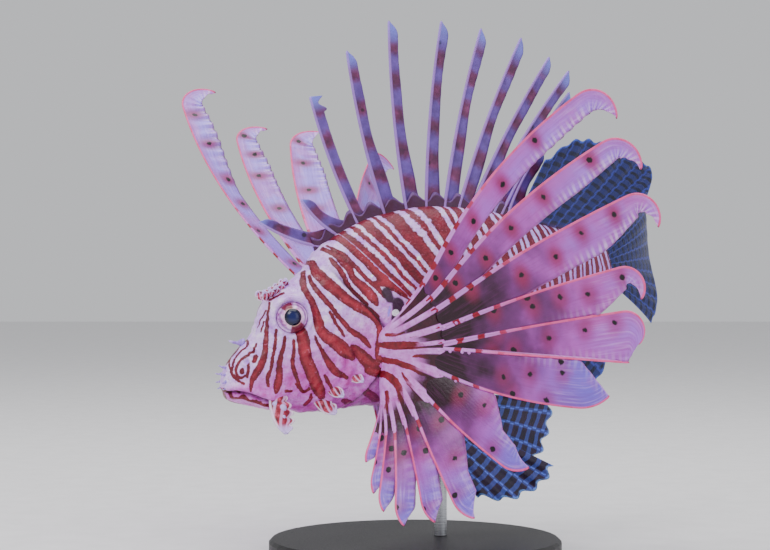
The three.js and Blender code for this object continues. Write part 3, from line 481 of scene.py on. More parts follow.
def lay_grid(name, points, facts):
    """A grid primitive whose points are laid on the given rows and columns, closed where they meet.

    facts are values for each point that the finishes read by name.
    """
    rows, columns = points.shape[:2]
    bpy.ops.object.select_all(action="DESELECT")
    bpy.ops.mesh.primitive_grid_add(x_subdivisions=columns - 1, y_subdivisions=rows - 1, size=1)
    piece = bpy.context.object
    piece.name = name
    piece.data.name = name
    piece.data.vertices.foreach_set("co", to_room(points).reshape(-1))
    for label, values in facts.items():
        kept = piece.data.attributes.new(label, "FLOAT", "POINT")
        values = np.broadcast_to(values, (rows, columns)).astype(np.float32)
        kept.data.foreach_set("value", values.reshape(-1))
    bpy.ops.object.mode_set(mode="EDIT")
    bpy.ops.mesh.select_all(action="SELECT")
    bpy.ops.mesh.remove_doubles(threshold=MERGE_WITHIN)
    bpy.ops.mesh.dissolve_degenerate(threshold=LEAST_EDGE)
    bpy.ops.mesh.normals_make_consistent(inside=False)
    bpy.ops.object.mode_set(mode="OBJECT")
    bpy.ops.object.shade_smooth()
    return piece


def gather(name, pieces):
    """Several pieces as one object."""
    bpy.ops.object.select_all(action="DESELECT")
    for piece in pieces:
        piece.select_set(True)
    bpy.context.view_layer.objects.active = pieces[0]
    bpy.ops.object.join()
    whole = bpy.context.object
    whole.name = name
    whole.data.name = name
    return whole


def dress(piece, finish, nodes=()):
    """Gives a finished piece its material and its place on the model."""
    piece.data.materials.append(finish)
    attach(piece, "root")
    if nodes:
        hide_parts(*nodes)


# Skin.

def bar_number(s, h):
    """Number of the bar at each point of the flank, from a thin plate through the courses of the bars."""
    known = np.array([(a, b, number) for number, course in BAR_COURSES.items() for a, b in course])
    squeeze = np.array([1.0, HEIGHT_SHARE])
    at = known[:, :2] * squeeze

    def plate(r2):
        return 0.5 * r2 * np.log(np.maximum(r2, 1e-12))

    n = len(at)
    kernel = plate(((at[:, None] - at[None]) ** 2).sum(-1)) + np.eye(n) * BAR_SMOOTHING
    flat = np.hstack([np.ones((n, 1)), at])
    system = np.block([[kernel, flat], [flat.T, np.zeros((3, 3))]])
    answer = np.linalg.solve(system, np.concatenate([known[:, 2], np.zeros(3)]))
    asked = np.stack([s.reshape(-1), h.reshape(-1)], -1) * squeeze
    total = answer[n] + asked @ answer[n + 1:]
    for k in range(n):
        total += answer[k] * plate(((asked - at[k]) ** 2).sum(-1))
    return total.reshape(s.shape)


def eye_frame(side):
    """Middle of one eye, and the way that it looks."""
    s, off, h = EYE["place"]
    centre = fish_point(s, h, side * off)
    x, y, z = EYE["look"]
    return centre, unit(np.array([x, side * y, z]))


def orbit(points, side):
    """Skin raised into a rim round one eye."""
    centre, look = eye_frame(side)
    reach = points - centre
    along = reach @ look
    radial = np.linalg.norm(reach - along[..., None] * look, axis=-1)
    rim = np.interp(radial, ORBIT_RADII, ORBIT_HEIGHTS)
    hold = (1 - soft_step(radial, 9.0, 13.0)) * (along > -8)
    return points + ((rim - along) * hold)[..., None] * look


def skin_grid():
    """The whole skin with its mouth, gill covers and folds, and what its finish reads at each point."""
    head = np.linspace(BODY[0, 0], HEAD_END, 215)
    rest = np.linspace(HEAD_END, TAIL_BASE, 175)[1:]
    along = np.concatenate([head, rest])
    around = np.linspace(-90, 270, 249)
    s, angle = np.meshgrid(along, np.radians(around), indexing="ij")
    rise = np.sin(angle)
    widest, back, belly = (section(column, s) for column in (WIDEST, BACK, BELLY))
    h = widest + np.where(rise > 0, back - widest, widest - belly) * rise
    side = np.sign(np.cos(angle)) * np.abs(np.cos(angle)) ** FULLNESS
    off = section(HALF_WIDTH, s) * side
    points = fish_point(s, h, off)
    normal = unit(np.cross(np.gradient(points, axis=0), np.gradient(points, axis=1)))
    normal *= np.where(np.sum(normal * (points - fish_point(s, widest, 0 * s)), -1).mean() < 0, -1, 1)

    mouth, mouth_along = line_gap(MOUTH, s, h)
    mouth_fade = 1 - soft_step(mouth_along, 0.9, 1)
    out = (
        1.5 * bump_at(mouth, 2.0, 1.5) + 1.1 * bump_at(mouth, -1.8, 1.3) - 1.6 * bump_at(mouth, 0, 0.75)
    ) * mouth_fade
    out += 1.1 * np.exp(-(((s - 18.5) / 5.2) ** 2) - (((h + 10.5) / 4.4) ** 2) ** 1.5)
    gill, gill_along = line_gap(GILL_EDGE, s, h)
    gill_fade = soft_step(gill_along, 0.12, 0.25) * (1 - soft_step(gill_along, 0.8, 0.95))
    out += (1.5 * bump_at(gill, 0, 7) * (gill < 0) - 1.1 * bump_at(gill, 0.9, 0.9)) * gill_fade
    out += 1.5 * gill_fade * (gill >= 0) * bump_at(gill, 0, 0.55)
    ridge, ridge_along = line_gap(CHEEK_RIDGE, s, h)
    out += 0.9 * bump_at(ridge, 0, 1.3) * np.sin(np.pi * np.clip(ridge_along, 0, 1)) ** 0.5
    plate, plate_along = line_gap(CHEEK_PLATE, s, h)
    plate_fade = np.sin(np.pi * np.clip(plate_along, 0, 1)) ** 0.5
    out += (0.9 * bump_at(plate, 0.6, 1.6) - 0.8 * bump_at(plate, -1.6, 0.9)) * plate_fade
    for nostril_s, nostril_h in NOSTRILS:
        out -= 1.2 * np.exp(-((s - nostril_s) ** 2 + (h - nostril_h) ** 2) / 0.9)
        out += 0.6 * bump_at(np.hypot(s - nostril_s, h - nostril_h), 1.7, 0.5)
    # Bony knobs on the cheek and the nape, and soft folds on the belly.
    lumps = np.sin(0.9 * s + 1.7 * np.sin(0.31 * h)) * np.sin(0.8 * h + 1.3 * np.sin(0.23 * s))
    out += 0.35 * lumps * soft_step(s, 8, 20) * (1 - soft_step(s, 62, 76))
    out *= soft_step(s, -0.5, 1.5)
    points = points + normal * out[..., None]
    for which in (-1, 1):
        points = orbit(points, which)
    points[0] = points[0].mean(0)
    points[-1] = points[-1].mean(0)
    # The belly seam's two edges are one line.
    points[:, -1] = points[:, 0]

    number = bar_number(s, h)
    left_side = fish_point(s, h, -np.abs(off))
    near_armpit = (s > 70) & (s < 96) & (h > -4) & (h < 26)

    def gap_from(stripes, nearby):
        gap = np.full(s.shape, FAR)
        gap[nearby] = stripe_gap(left_side[nearby], stripes, lambda a, b: skin_point(a, b, -1))
        return gap

    facts = {
        "bar": number,
        "red_gap": gap_from(RED_STRIPES, (number < TRACED_BARS) & (s < 92)),
        "height": (h - belly) / (back - belly),
        "length": s,
        # Painted shade: the grooves of the mouth and the gill slit are darkened.
        "cleft_shade": (bump_at(mouth, 0, 0.6) * mouth_fade + bump_at(gill, 0.9, 0.9) * gill_fade).clip(0, 1),
        "armpit": gap_from(ARMPIT, near_armpit),
        "armpit_rim": gap_from(ARMPIT_RIM, near_armpit),
        "white_spot": np.min([np.hypot((s - a) / c, (h - b) / d) for a, b, c, d in WHITE_SPOTS], axis=0),
        "throat": soft_step(-h, 14, 27) * (1 - soft_step(s, 70, 100)),
    }
    return points, facts


# Thin fins.

def double_sheet(name, centre, thick, facts):
    """A closed sheet round a grid of centre points, thick mm through, sharp along all its edges."""
    along = np.gradient(centre, axis=0)
    across = np.gradient(centre, axis=1)
    normal = unit(np.cross(along, across))
    edge = np.ones(centre.shape[:2])
    edge[0] = edge[-1] = 0
    edge[:, 0] = edge[:, -1] = 0
    half = (0.5 * thick * edge)[..., None] * normal
    points = np.concatenate([centre + half, (centre - half)[:, ::-1][:, 1:]], 1)
    doubled = {}
    for label, values in facts.items():
        values = np.broadcast_to(values, centre.shape[:2])
        doubled[label] = np.concatenate([values, values[:, ::-1][:, 1:]], 1)
    return lay_grid(name, points, doubled)


def ribbed_fin(name, shape, base_at, off_at, sink, flutter):
    """A fin of rays with webs between them that bends with the body."""
    rays = shape["rays"]
    c, u = np.meshgrid(np.linspace(0, 1, 12 * (rays - 1) + 1), np.linspace(0, 1, 64), indexing="xy")
    ray = c * (rays - 1)
    beside = np.abs(ray - np.round(ray))
    notch = 1 - 0.045 * np.sin(np.pi * ray) ** 2 * u
    length = through(shape["lengths"], c)
    reach = mix(-sink, length * notch, u)
    angle = np.radians(through(shape["angles"], c))
    s0, h0 = base_at(c)
    wave = flutter * u * u * np.sin(2 * np.pi * (1.6 * c + 0.35 * u))
    pleat = 0.45 * u * np.cos(2 * np.pi * ray)
    centre = fish_point(s0 + reach * np.cos(angle), h0 + reach * np.sin(angle), off_at(u) + wave + pleat)
    shaft = bump_at(beside, 0, 0.13)
    thick = mix(0.55, mix(1.5, 0.7, u), shaft)
    facts = {"along": reach, "reach": u, "ray": ray, "to_rim": (1 - u) * length, "shaft": shaft}
    return double_sheet(name, centre, thick, facts)


def vane(name, line, rim, shaft_radius, web_thick, ray, pleat, spots=()):
    """A ray with the web beside it, as one closed skin round both."""
    n = len(line)
    tangent = unit(np.gradient(line, axis=0))
    web = rim - line
    wide = np.linalg.norm(web, axis=1)
    web = unit(web)
    normal = unit(np.cross(tangent, web))
    front = unit(np.cross(normal, tangent))
    steps = np.concatenate([[0], np.cumsum(np.linalg.norm(np.diff(line, axis=0), axis=1))])
    t = steps / steps[-1]
    columns = int(np.clip(wide.max() / 1.1, 8, 24))
    q = np.linspace(0, 1, columns)
    x = np.outer(wide, q ** 1.25)
    closed = np.ones(n)
    closed[0] = closed[-1] = 0
    radius = np.minimum(shaft_radius * (1 - 0.55 * t), 0.4 * wide)[:, None]
    round_half = np.sqrt(np.maximum(radius ** 2 - x ** 2, 0))
    half = np.maximum(round_half, 0.5 * web_thick * (1 - q ** 8)) * closed[:, None]
    half[:, -1] = 0
    fold = pleat * q[None] ** 1.5 * np.sin(steps / 0.95)[:, None] * soft_step(t, 0.45, 0.75)[:, None]
    sag = 0.05 * wide[:, None] * np.sin(np.pi * q)[None]
    middle = line[:, None] + web[:, None] * x[..., None] + normal[:, None] * (fold + sag)[..., None]
    side_a = middle + normal[:, None] * half[..., None]
    side_b = middle - normal[:, None] * half[..., None]
    bend = np.radians([45, 90, 135])
    nose = (
        line[:, None]
        - front[:, None] * (radius * np.sin(bend) * closed[:, None])[..., None]
        + normal[:, None] * (radius * np.cos(bend) * closed[:, None])[..., None]
    )
    points = np.concatenate([side_a[:, ::-1], nose, side_b], 1)

    def ring(sheet_values, nose_value):
        nose_values = np.broadcast_to(nose_value, (n, 3))
        return np.concatenate([sheet_values[:, ::-1], nose_values, sheet_values], 1)

    spot = np.full(x.shape, FAR)
    halo = np.full(x.shape, FAR)
    for spot_along, spot_across in spots:
        k = np.argmin(np.abs(steps - spot_along))
        at = line[k] + web[k] * spot_across * wide[k]
        spot = np.minimum(spot, np.linalg.norm(middle - at, axis=-1))
        # The cloud round a spot is drawn out across the web.
        across = 0.7 * (x - spot_across * wide[k])
        halo = np.minimum(halo, np.hypot((steps - steps[k])[:, None], across))
    facts = {
        "along": steps[:, None],
        "reach": t[:, None],
        "ray": ray,
        "off_ray": ring(x, 0.0),
        "to_rim": ring(wide[:, None] - x, wide[:, None]),
        "spot": ring(spot, spot[:, :1]),
        "halo": ring(halo, halo[:, :1]),
    }
    return lay_grid(name, points, facts)


def dorsal_spine(i):
    """One dorsal spine with its pennant."""
    s, length, angle, lean = DORSAL_SPINES[i]
    way = direction(s, angle, lean)
    root = fish_point(s, section(BACK, s)) - way * SPINE_SINK
    tailward = direction(s, angle - 90, 0)
    t = np.linspace(0, 1, 90)
    span = length + SPINE_SINK
    line = root + np.outer(span * t, way) - np.outer(8 * t * (1 - t), tailward)
    # The pennant is broad low down, slim above, and cut to a point over its last 7 mm.
    swell = 1 + 0.05 * np.sin(2 * np.pi * (t * 2.3 + 0.21 * i))
    wide = mix(6.6, 4.7, soft_step(t, 0.15, 0.6)) * swell + 3.5 * (1 - soft_step(t * span, 0, 13))
    left = (1 - t) * span
    wide = np.maximum(wide * soft_step(left, -4.0, 7.0) * np.minimum(1, left / 2.5) ** 0.5, 0.5)
    if i == FRAYED_SPINE:
        wide = np.maximum(4.4 + 1.6 * np.cos(0.9 * left) * (left < 8), 0.5) * (left > 0.01) + 0.5
    rim = line + np.outer(wide, tailward) - np.outer(0.12 * wide, way)
    if i + 1 < len(DORSAL_SPINES):
        s2, _, angle2, lean2 = DORSAL_SPINES[i + 1]
        beyond = fish_point(s2, section(BACK, s2)) - direction(s2, angle2, lean2) * SPINE_SINK
        hold = (1 - soft_step(t, 0.0, 0.16))[:, None]
        rim = rim * (1 - hold) + beyond * hold
    return vane(f"dorsal_spine_{i + 1}", line, rim, 0.95, 0.5, i, pleat=0.15)


def dorsal_strip():
    """The low fleshy fold that the spines stand in."""
    s, row = np.meshgrid(np.linspace(59, 160, 150), np.linspace(-3, 1, 16), indexing="xy")
    rise = np.where(row > 0, row * (5.0 + 2.2 * np.sin(s * 0.57)), row)
    centre = fish_point(s, section(BACK, s) + rise)
    u = (row + 3) / 4
    facts = {"along": 0.0, "reach": u * 0.1, "ray": 3.3, "off_ray": 6.0, "to_rim": (1 - u) * 8}
    return double_sheet("dorsal_strip", centre, 2.2 * (1 - u) + 0.5, facts)


# Pectoral fins.

def in_hook(t):
    """Share of a ray's hook that is behind t."""
    return np.clip((t - HOOK_START) / (1 - HOOK_START), 0, 1)


class HookedRay:
    """A ray in the plane of its chord and the way that its tip hooks."""

    def __init__(self, root, chord, towards, row):
        _, _, length, sway, bow, hook, _, _ = row
        self.root, self.chord, self.towards = root, chord, towards
        self.bends = (sway, bow, hook)
        middle = (np.arange(RAY_STEPS) + 0.5) / RAY_STEPS
        turn = self.turn(middle)
        steps = np.stack([np.cos(turn), np.sin(turn)], -1)
        path = np.vstack([[0, 0], np.cumsum(steps, 0)])
        end = path[HOOK_STEP if hook > DEEP_HOOK else RAY_STEPS]
        scale = length / np.linalg.norm(end)
        self.tilt = math.atan2(end[1], end[0])
        c, s = math.cos(-self.tilt), math.sin(-self.tilt)
        self.path = path @ np.array([[c, s], [-s, c]]) * scale
        self.length = RAY_STEPS * scale
        self.hook_radius = (1 - HOOK_START) * self.length / math.radians(hook) if hook else math.inf

    def turn(self, t):
        """How far the ray has turned at t, from 0 at its root to 1 at its tip."""
        sway, bow, hook = self.bends
        return -np.radians(
            sway * (1 - np.clip(4 * t, 0, 1)) + bow * np.clip((t - 0.25) / 0.6, 0, 1) + hook * in_hook(t)
        )

    def at(self, t):
        """Points of the ray."""
        x = np.clip(t, 0, 1) * RAY_STEPS
        px, py = (np.interp(x, np.arange(RAY_STEPS + 1), self.path[:, k]) for k in (0, 1))
        return self.root + np.outer(px, self.chord) - np.outer(py, self.towards)

    def inward(self, t):
        """The way square to the ray, on the side that its hook bends to."""
        turn = self.turn(t) - self.tilt
        return np.outer(np.sin(turn), self.chord) + np.outer(np.cos(turn), self.towards)


def web_rim(ray, beside, root_width, tip_width, t):
    """The rim of a ray's web: on the next ray where that is near, else a free edge."""
    full = tip_width > FULL_WEB

    def rim_at(t):
        p = ray.at(t)
        reach = beside.at(t * ray.length / beside.length) - p
        gap = np.linalg.norm(reach, axis=1)
        wide = mix(root_width, tip_width, np.clip((t - 0.5) / 0.25, 0, 1))
        narrow = wide if full else np.minimum(wide, 0.8 * ray.hook_radius)
        narrowed = soft_step(t, NARROW_START, HOOK_TOP)
        free = np.maximum(LEAST_WEB, mix(wide, narrow, narrowed) * (1 - in_hook(t) ** 3))
        lean = np.clip(4 * t - 2.2, 0, 1)[:, None]
        way = unit(unit(reach) * (1 - lean) + ray.inward(t) * lean)
        return np.where((gap <= free)[:, None], p + reach, p + way * free[:, None])

    if not full:
        return rim_at(t)
    # A full web ends on a straight edge from the foot of the hook to its tip.
    foot = rim_at(np.array([HOOK_START]))
    end = np.array([1.0])
    tip = ray.at(end) + LEAST_WEB * ray.inward(end)
    gone = in_hook(t)[:, None]
    return np.where(gone > 0, mix(foot, tip, gone), rim_at(t))


def neighbour(i):
    """Number of the ray that ray i's web reaches to."""
    return i + 1 if i < CENTRE_RAY else i - 1


def pectoral_rays(rays, side):
    """The rays of one pectoral fin, each rooted in the flank."""
    x = np.linspace(0, 1, len(rays))
    s, h = (mix(first, last, x) for first, last in zip(FIRST_ROOT, LAST_ROOT))
    roots = skin_point(s, h, side, -1)
    angles, lifts = (np.array([row[k] for row in rays]) for k in (0, 1))
    chords = direction(0 * x, angles, side * lifts)
    curves = []
    for i, row in enumerate(rays):
        beside = chords[neighbour(i)]
        towards = unit(beside - chords[i] * (beside @ chords[i]))
        if i == 0:
            web_turn = math.radians(FIRST_WEB_TURN[side])
            towards = towards * math.cos(web_turn) + np.cross(chords[i], towards) * math.sin(web_turn)
        curves.append(HookedRay(roots[i], chords[i], towards, row))
    return curves


def lobe_point(curves, i, reach):
    """A point between the rays: ray number, which need not be whole, and distance from the root."""
    i, reach = np.broadcast_arrays(np.asarray(i, float), np.asarray(reach, float))
    table = np.linspace(0, 60, 61)
    rows = np.stack([curve.at(table / curve.length) for curve in curves])
    back = rows[:, 0] - rows[:, 1]
    k = np.clip(np.floor(i).astype(int), 0, len(curves) - 2)
    f = (i - k)[..., None]
    j = np.clip(np.floor(reach).astype(int), 0, 59)
    g = (np.maximum(reach, 0) - j)[..., None]
    first = mix(rows[k, j], rows[k, j + 1], g)
    second = mix(rows[k + 1, j], rows[k + 1, j + 1], g)
    behind = np.maximum(-reach, 0)[..., None] * mix(back[k], back[k + 1], f)
    return mix(first, second, f) + behind


def pectoral_fin(name, rays, side, spots):
    """The rays and webs of one pectoral fin, outside its fleshy root."""
    curves = pectoral_rays(rays, side)
    pieces = []
    for i, (row, curve) in enumerate(zip(rays, curves)):
        t = np.linspace(0.08, 1, max(50, int(curve.length / 1.25)))
        line = curve.at(t)
        rim = web_rim(curve, curves[neighbour(i)], row[6], row[7], t)
        pleat = 0.75 if i < 3 else 0.2
        own = [(a, b) for ray, a, b in spots if ray == i]
        pieces.append(vane(f"{name}_ray_{i}", line, rim, 0.62, 0.36, i, pleat, own))
    return gather(name, pieces)


def bead(name, centre, radius, facts):
    """A small round lump of skin."""
    polar, turn = np.meshgrid(np.linspace(0, np.pi, 9), np.linspace(0, 2 * np.pi, 13), indexing="ij")
    ball = np.stack([np.sin(polar) * np.cos(turn), np.sin(polar) * np.sin(turn), np.cos(polar)], -1)
    return lay_grid(name, centre + radius * ball, facts)


def pectoral_lobe(name, rays, side):
    """The fleshy root of a pectoral fin, with the lumps on the undersides of its rays."""
    curves = pectoral_rays(rays, side)
    last = len(rays) - 1
    i, u = np.meshgrid(np.linspace(0, last, 10 * last + 1), np.linspace(0, 1, 70), indexing="xy")
    scallop = 1 - 0.05 * np.sin(np.pi * i) ** 2
    reach = mix(LOBE_REACHES[0], LOBE_REACHES[-1] * scallop, u)
    centre = lobe_point(curves, i, reach)
    thick = np.interp(reach, LOBE_REACHES, LOBE_THICKNESSES)
    edge = np.sqrt(np.maximum(1 - (2 * np.abs(i / last - 0.5)) ** 10, 0))
    ribs = 1 + 0.12 * np.cos(2 * np.pi * i) * soft_step(u, 0.3, 0.7)
    facts = {
        "along": reach,
        "off_ray": np.abs(i - np.round(i)) * (2.0 + 0.2 * np.maximum(reach, 0)),
        "ray": i,
        "red_gap": stripe_gap(centre, LOBE_STRIPES, lambda a, b: lobe_point(curves, a, b)),
    }
    pieces = [double_sheet(name, centre, thick * edge * ribs, facts)]
    for k, (ray, away) in enumerate(RAY_BEADS):
        place = curves[ray].at(np.array([away / curves[ray].length]))[0] - np.array([0, 0, 0.7])
        pale = {"along": 0.0, "off_ray": 0.0, "ray": ray, "red_gap": 9.0}
        pieces.append(bead(f"{name}_bead_{k}", place, 0.85, pale))
    return gather(name, pieces)


# Head trimmings.

# Where a leaf is rooted, the way that it points, its size, and how deep its teeth are cut.
LEAVES = [
    {"at": (20.5, -8.5), "angle": -99, "lift": 26, "length": 19, "width": 10.5, "teeth": 5, "depth": 0.5},
    {"at": (38.3, -18.5), "angle": -56, "lift": 34, "length": 9.5, "width": 7, "teeth": 2, "depth": 0.35},
    {"at": (44.2, -14.8), "angle": -48, "lift": 40, "length": 6.5, "width": 5.2, "teeth": 1, "depth": 0.2},
    {"at": (54.2, -11.6), "angle": -42, "lift": 40, "length": 6, "width": 4.8, "teeth": 1, "depth": 0.2},
    {"at": (31, 30.6), "angle": 112, "lift": 30, "length": 3.6, "width": 4, "teeth": 2, "depth": 0.4},
    {"at": (33, 31.6), "angle": 100, "lift": 40, "length": 2.2, "width": 3.4, "teeth": 2, "depth": 0.4},
    {"at": (35.6, 32.4), "angle": 96, "lift": 45, "length": 2, "width": 3.4, "teeth": 1, "depth": 0.3},
    {"at": (38.2, 33.2), "angle": 90, "lift": 45, "length": 2, "width": 3.2, "teeth": 1, "depth": 0.3},
    {"at": (40.8, 34.4), "angle": 84, "lift": 45, "length": 2, "width": 3, "teeth": 1, "depth": 0.3},
]
# On the right side the leaf at the mouth is folded short and one on the cheek hangs long.
RIGHT_CHANGES = {0: {"length": 8}, 2: {"angle": -78, "length": 17, "width": 6, "teeth": 2}}
# Curls of skin at the nostril and on the snout: place, angle, lift, length and radius.
BARBELS = [
    ((15.5, 15.6), 158, 18, 6.5, 1.5), ((2.4, 4.5), 160, 20, 2.6, 0.7), ((1.6, 1.5), 178, 25, 2.4, 0.7),
    ((1, -1), 190, 25, 2, 0.6), ((3.8, 7), 140, 30, 2.2, 0.6),
]
# Lumps on a leaf: its number, shares of its length and width, and radius.
LEAF_BEADS = [(0, 0.42, 0.12, 1.8), (0, 0.3, -0.18, 1.2), (0, 0.62, 0.05, 1.0)]
# Curls and lumps are told from leaves by numbers from these on.
FIRST_CURL, FIRST_LUMP = 10.0, 20.0
LEAF_SINK, BARBEL_SINK = 2, 1


def leaf_frame(at, angle, lift, side):
    """Root and two directions of a leaf: along it and across it."""
    root = skin_point(*at, side, -LEAF_SINK)
    return root, direction(at[0], angle, side * lift), direction(at[0], angle + 90, 0)


def leaf(number, at, angle, lift, length, width, teeth, depth, side):
    """A leaf of skin with teeth along its tailward edge."""
    root, way, across = leaf_frame(at, angle, lift, side)
    out = unit(np.cross(way, across))
    u, v = np.meshgrid(np.linspace(0, 1, 80), np.linspace(-1, 1, 25), indexing="ij")
    tooth = np.abs(np.cos(np.pi * u * (teeth + 0.5))) ** 0.8
    wide = width * (1 - u) ** 0.6 * (0.5 + 1.6 * u) / 0.86
    x = np.where(v > 0, 0.6 * wide * mix(1 - depth, 1.0, tooth) * v, 0.45 * wide * v)
    ripple = 0.8 * np.sin(5 * u + 2.5 * v) * u - 0.08 * width * v * v
    down = u * (length + LEAF_SINK)
    centre = root + way * down[..., None] + across * x[..., None] + out * ripple[..., None]
    facts = {"across": v, "leaf": number, "reach": u}
    return double_sheet(f"leaf_{number}", centre, mix(1.4, 0.8, np.abs(v)), facts)


def leaf_shape(number, side):
    """A leaf's row of LEAVES, with the changes of the right side."""
    return {**LEAVES[number], **(RIGHT_CHANGES.get(number, {}) if side > 0 else {})}


def leaf_bead(number, down, aside, radius, side):
    """A round lump on a leaf, at shares of the leaf's length and width."""
    shape = leaf_shape(number, side)
    root, way, across = leaf_frame(shape["at"], shape["angle"], shape["lift"], side)
    centre = root + way * down * (shape["length"] + LEAF_SINK) + across * aside * shape["width"]
    return bead("leaf_bead", centre, radius, {"across": 0.0, "leaf": FIRST_LUMP, "reach": 0.9})


def barbel(number, at, angle, lift, length, radius, side):
    """A small tapered curl of skin."""
    way = direction(at[0], angle, side * lift)
    across = direction(at[0], angle + 90, 0)
    out = unit(np.cross(way, across))
    root = skin_point(*at, side, -BARBEL_SINK)
    u, around = np.meshgrid(np.linspace(0, 1, 20), np.linspace(0, 2 * np.pi, 13), indexing="ij")
    thick = radius * (1 - u) ** 0.7 * (1 + 0.2 * np.sin(9 * u))
    thick[0] = 0
    sway = 0.12 * length * np.sin(3 * u)
    line = root + way * (u * (length + BARBEL_SINK))[..., None] + across * sway[..., None]
    points = line + (across * np.cos(around)[..., None] + out * np.sin(around)[..., None]) * thick[..., None]
    return lay_grid(f"barbel_{number}", points, {"across": 0.0, "leaf": FIRST_CURL + number, "reach": u})


# Finishes.

def tint(*screen):
    """A colour given as on a screen: red, green and blue from 0 to 255."""
    shares = [value / 255 for value in screen]
    return (*(c / 12.92 if c <= 0.04045 else ((c + 0.055) / 1.055) ** 2.4 for c in shares), 1)


class Paint:
    """Adds nodes to one material or effect group, and gives back what they put out."""

    def __init__(self, tree, finish=None):
        self.tree, self.finish = tree, finish
        self.place = self.add("TexCoord").outputs["Object"]

    def fill(self, socket, value):
        if isinstance(value, bpy.types.NodeSocket):
            self.tree.links.new(value, socket)
        else:
            socket.default_value = value

    def add(self, kind, settings=None, **sockets):
        made = self.tree.nodes.new("ShaderNode" + kind)
        for key, value in (settings or {}).items():
            setattr(made, key, value)
        for key, value in sockets.items():
            self.fill(made.inputs[key.replace("_", " ")], value)
        return made

    def calc(self, operation, *values):
        made = self.add("Math", {"operation": operation})
        for socket, value in zip(made.inputs, values):
            self.fill(socket, value)
        return made.outputs[0]

    def plus(self, a, b):
        return self.calc("ADD", a, b)

    def minus(self, a, b):
        return self.calc("SUBTRACT", a, b)

    def times(self, a, b):
        return self.calc("MULTIPLY", a, b)

    def times_plus(self, a, b, c):
        return self.calc("MULTIPLY_ADD", a, b, c)

    def gap(self, a, b):
        return self.calc("ABSOLUTE", self.minus(a, b))

    def between(self, value, low, high, start=0.0, end=1.0):
        """A soft step from start to end as the value goes from low to high."""
        made = self.add("MapRange", {"interpolation_type": "SMOOTHSTEP"})
        for socket, given in zip(made.inputs, (value, low, high, start, end)):
            self.fill(socket, given)
        return made.outputs[0]

    def choose(self, factor, a, b):
        return self.add("Mix", {"data_type": "FLOAT"}, Factor=factor, A=a, B=b).outputs["Result"]

    def blend(self, factor, a, b):
        made = self.add("Mix", {"data_type": "RGBA"})
        for index, value in ((0, factor), (6, a), (7, b)):
            self.fill(made.inputs[index], value)
        return made.outputs[2]

    def coats(self, colour, *coats):
        """Lays coats over a colour, each one a mask and a tint."""
        for mask, over in coats:
            colour = self.blend(mask, colour, over)
        return colour

    def ramp(self, factor, *stops):
        made = self.add("ValToRGB")
        band = made.color_ramp
        while len(band.elements) < len(stops):
            band.elements.new(1.0)
        for element, (place, colour) in zip(band.elements, stops):
            element.position = place
            element.color = colour
        self.fill(made.inputs[0], factor)
        return made.outputs[0]

    def fact(self, name):
        return self.add("Attribute", {"attribute_name": name}).outputs["Fac"]

    def cloud(self, scale, detail=3.0, rough=0.5, at=None):
        where = self.place if at is None else at
        return self.add("TexNoise", Vector=where, Scale=scale, Detail=detail, Roughness=rough).outputs["Fac"]

    def waver(self, scale, detail=3.0, rough=0.5):
        """A cloud around nothing."""
        return self.minus(self.cloud(scale, detail, rough), 0.5)

    def cells(self, scale):
        return self.add("TexVoronoi", {"feature": "F1"}, Vector=self.place, Scale=scale).outputs["Distance"]

    def use(self, group, **values):
        return self.add("Group", {"node_tree": group}, **values).outputs

    def complete(self, colour, roughness, height, depth, coat, **more):
        """Joins colour, roughness and relief to the shader, and sets its constants."""
        shader = self.tree.nodes["Principled BSDF"]
        self.tree.links.new(colour, shader.inputs["Base Color"])
        self.fill(shader.inputs["Roughness"], roughness)
        bump = self.add("Bump", Height=height, Strength=1.0, Distance=depth)
        self.tree.links.new(bump.outputs["Normal"], shader.inputs["Normal"])
        constants = {"Coat_Weight": coat, "Coat_Roughness": 0.25, "Specular_IOR_Level": 0.3, **more}
        for key, value in constants.items():
            shader.inputs[key.replace("_", " ")].default_value = value
        return self.finish

    def complete_wet(self, colour, scale, pores, depth, coat, raised=None, rise=0.0):
        """Completes a wet finish with fine grain, and with the relief of what is raised."""
        grain = self.use(WET_GRAIN, Scale=scale, Depth=pores)
        height = grain["Height"] if raised is None else self.times_plus(raised, rise, grain["Height"])
        return self.complete(colour, grain["Roughness"], height, depth, coat)


def effect_group(name, inputs, outputs):
    """An empty node group with its named inputs and outputs."""
    group = bpy.data.node_groups.new(name, "ShaderNodeTree")
    for in_out, labels in (("INPUT", inputs), ("OUTPUT", outputs)):
        for label in labels:
            group.interface.new_socket(name=label, in_out=in_out, socket_type="NodeSocketFloat")
    return group, group.nodes.new("NodeGroupInput").outputs, group.nodes.new("NodeGroupOutput").inputs


def make_wet_grain():
    """Fine pores and soft mottling: a height for bump and a roughness."""
    group, given, out = effect_group("wet_grain", ("Scale", "Depth"), ("Height", "Roughness"))
    paint = Paint(group)
    fine = paint.cloud(900.0, 4.0, 0.6)
    pores = paint.times_plus(paint.cells(given["Scale"]), paint.times(given["Depth"], -1.0), fine)
    paint.fill(out["Height"], pores)
    paint.fill(out["Roughness"], paint.between(fine, 0.2, 0.8, 0.28, 0.5))
    return group


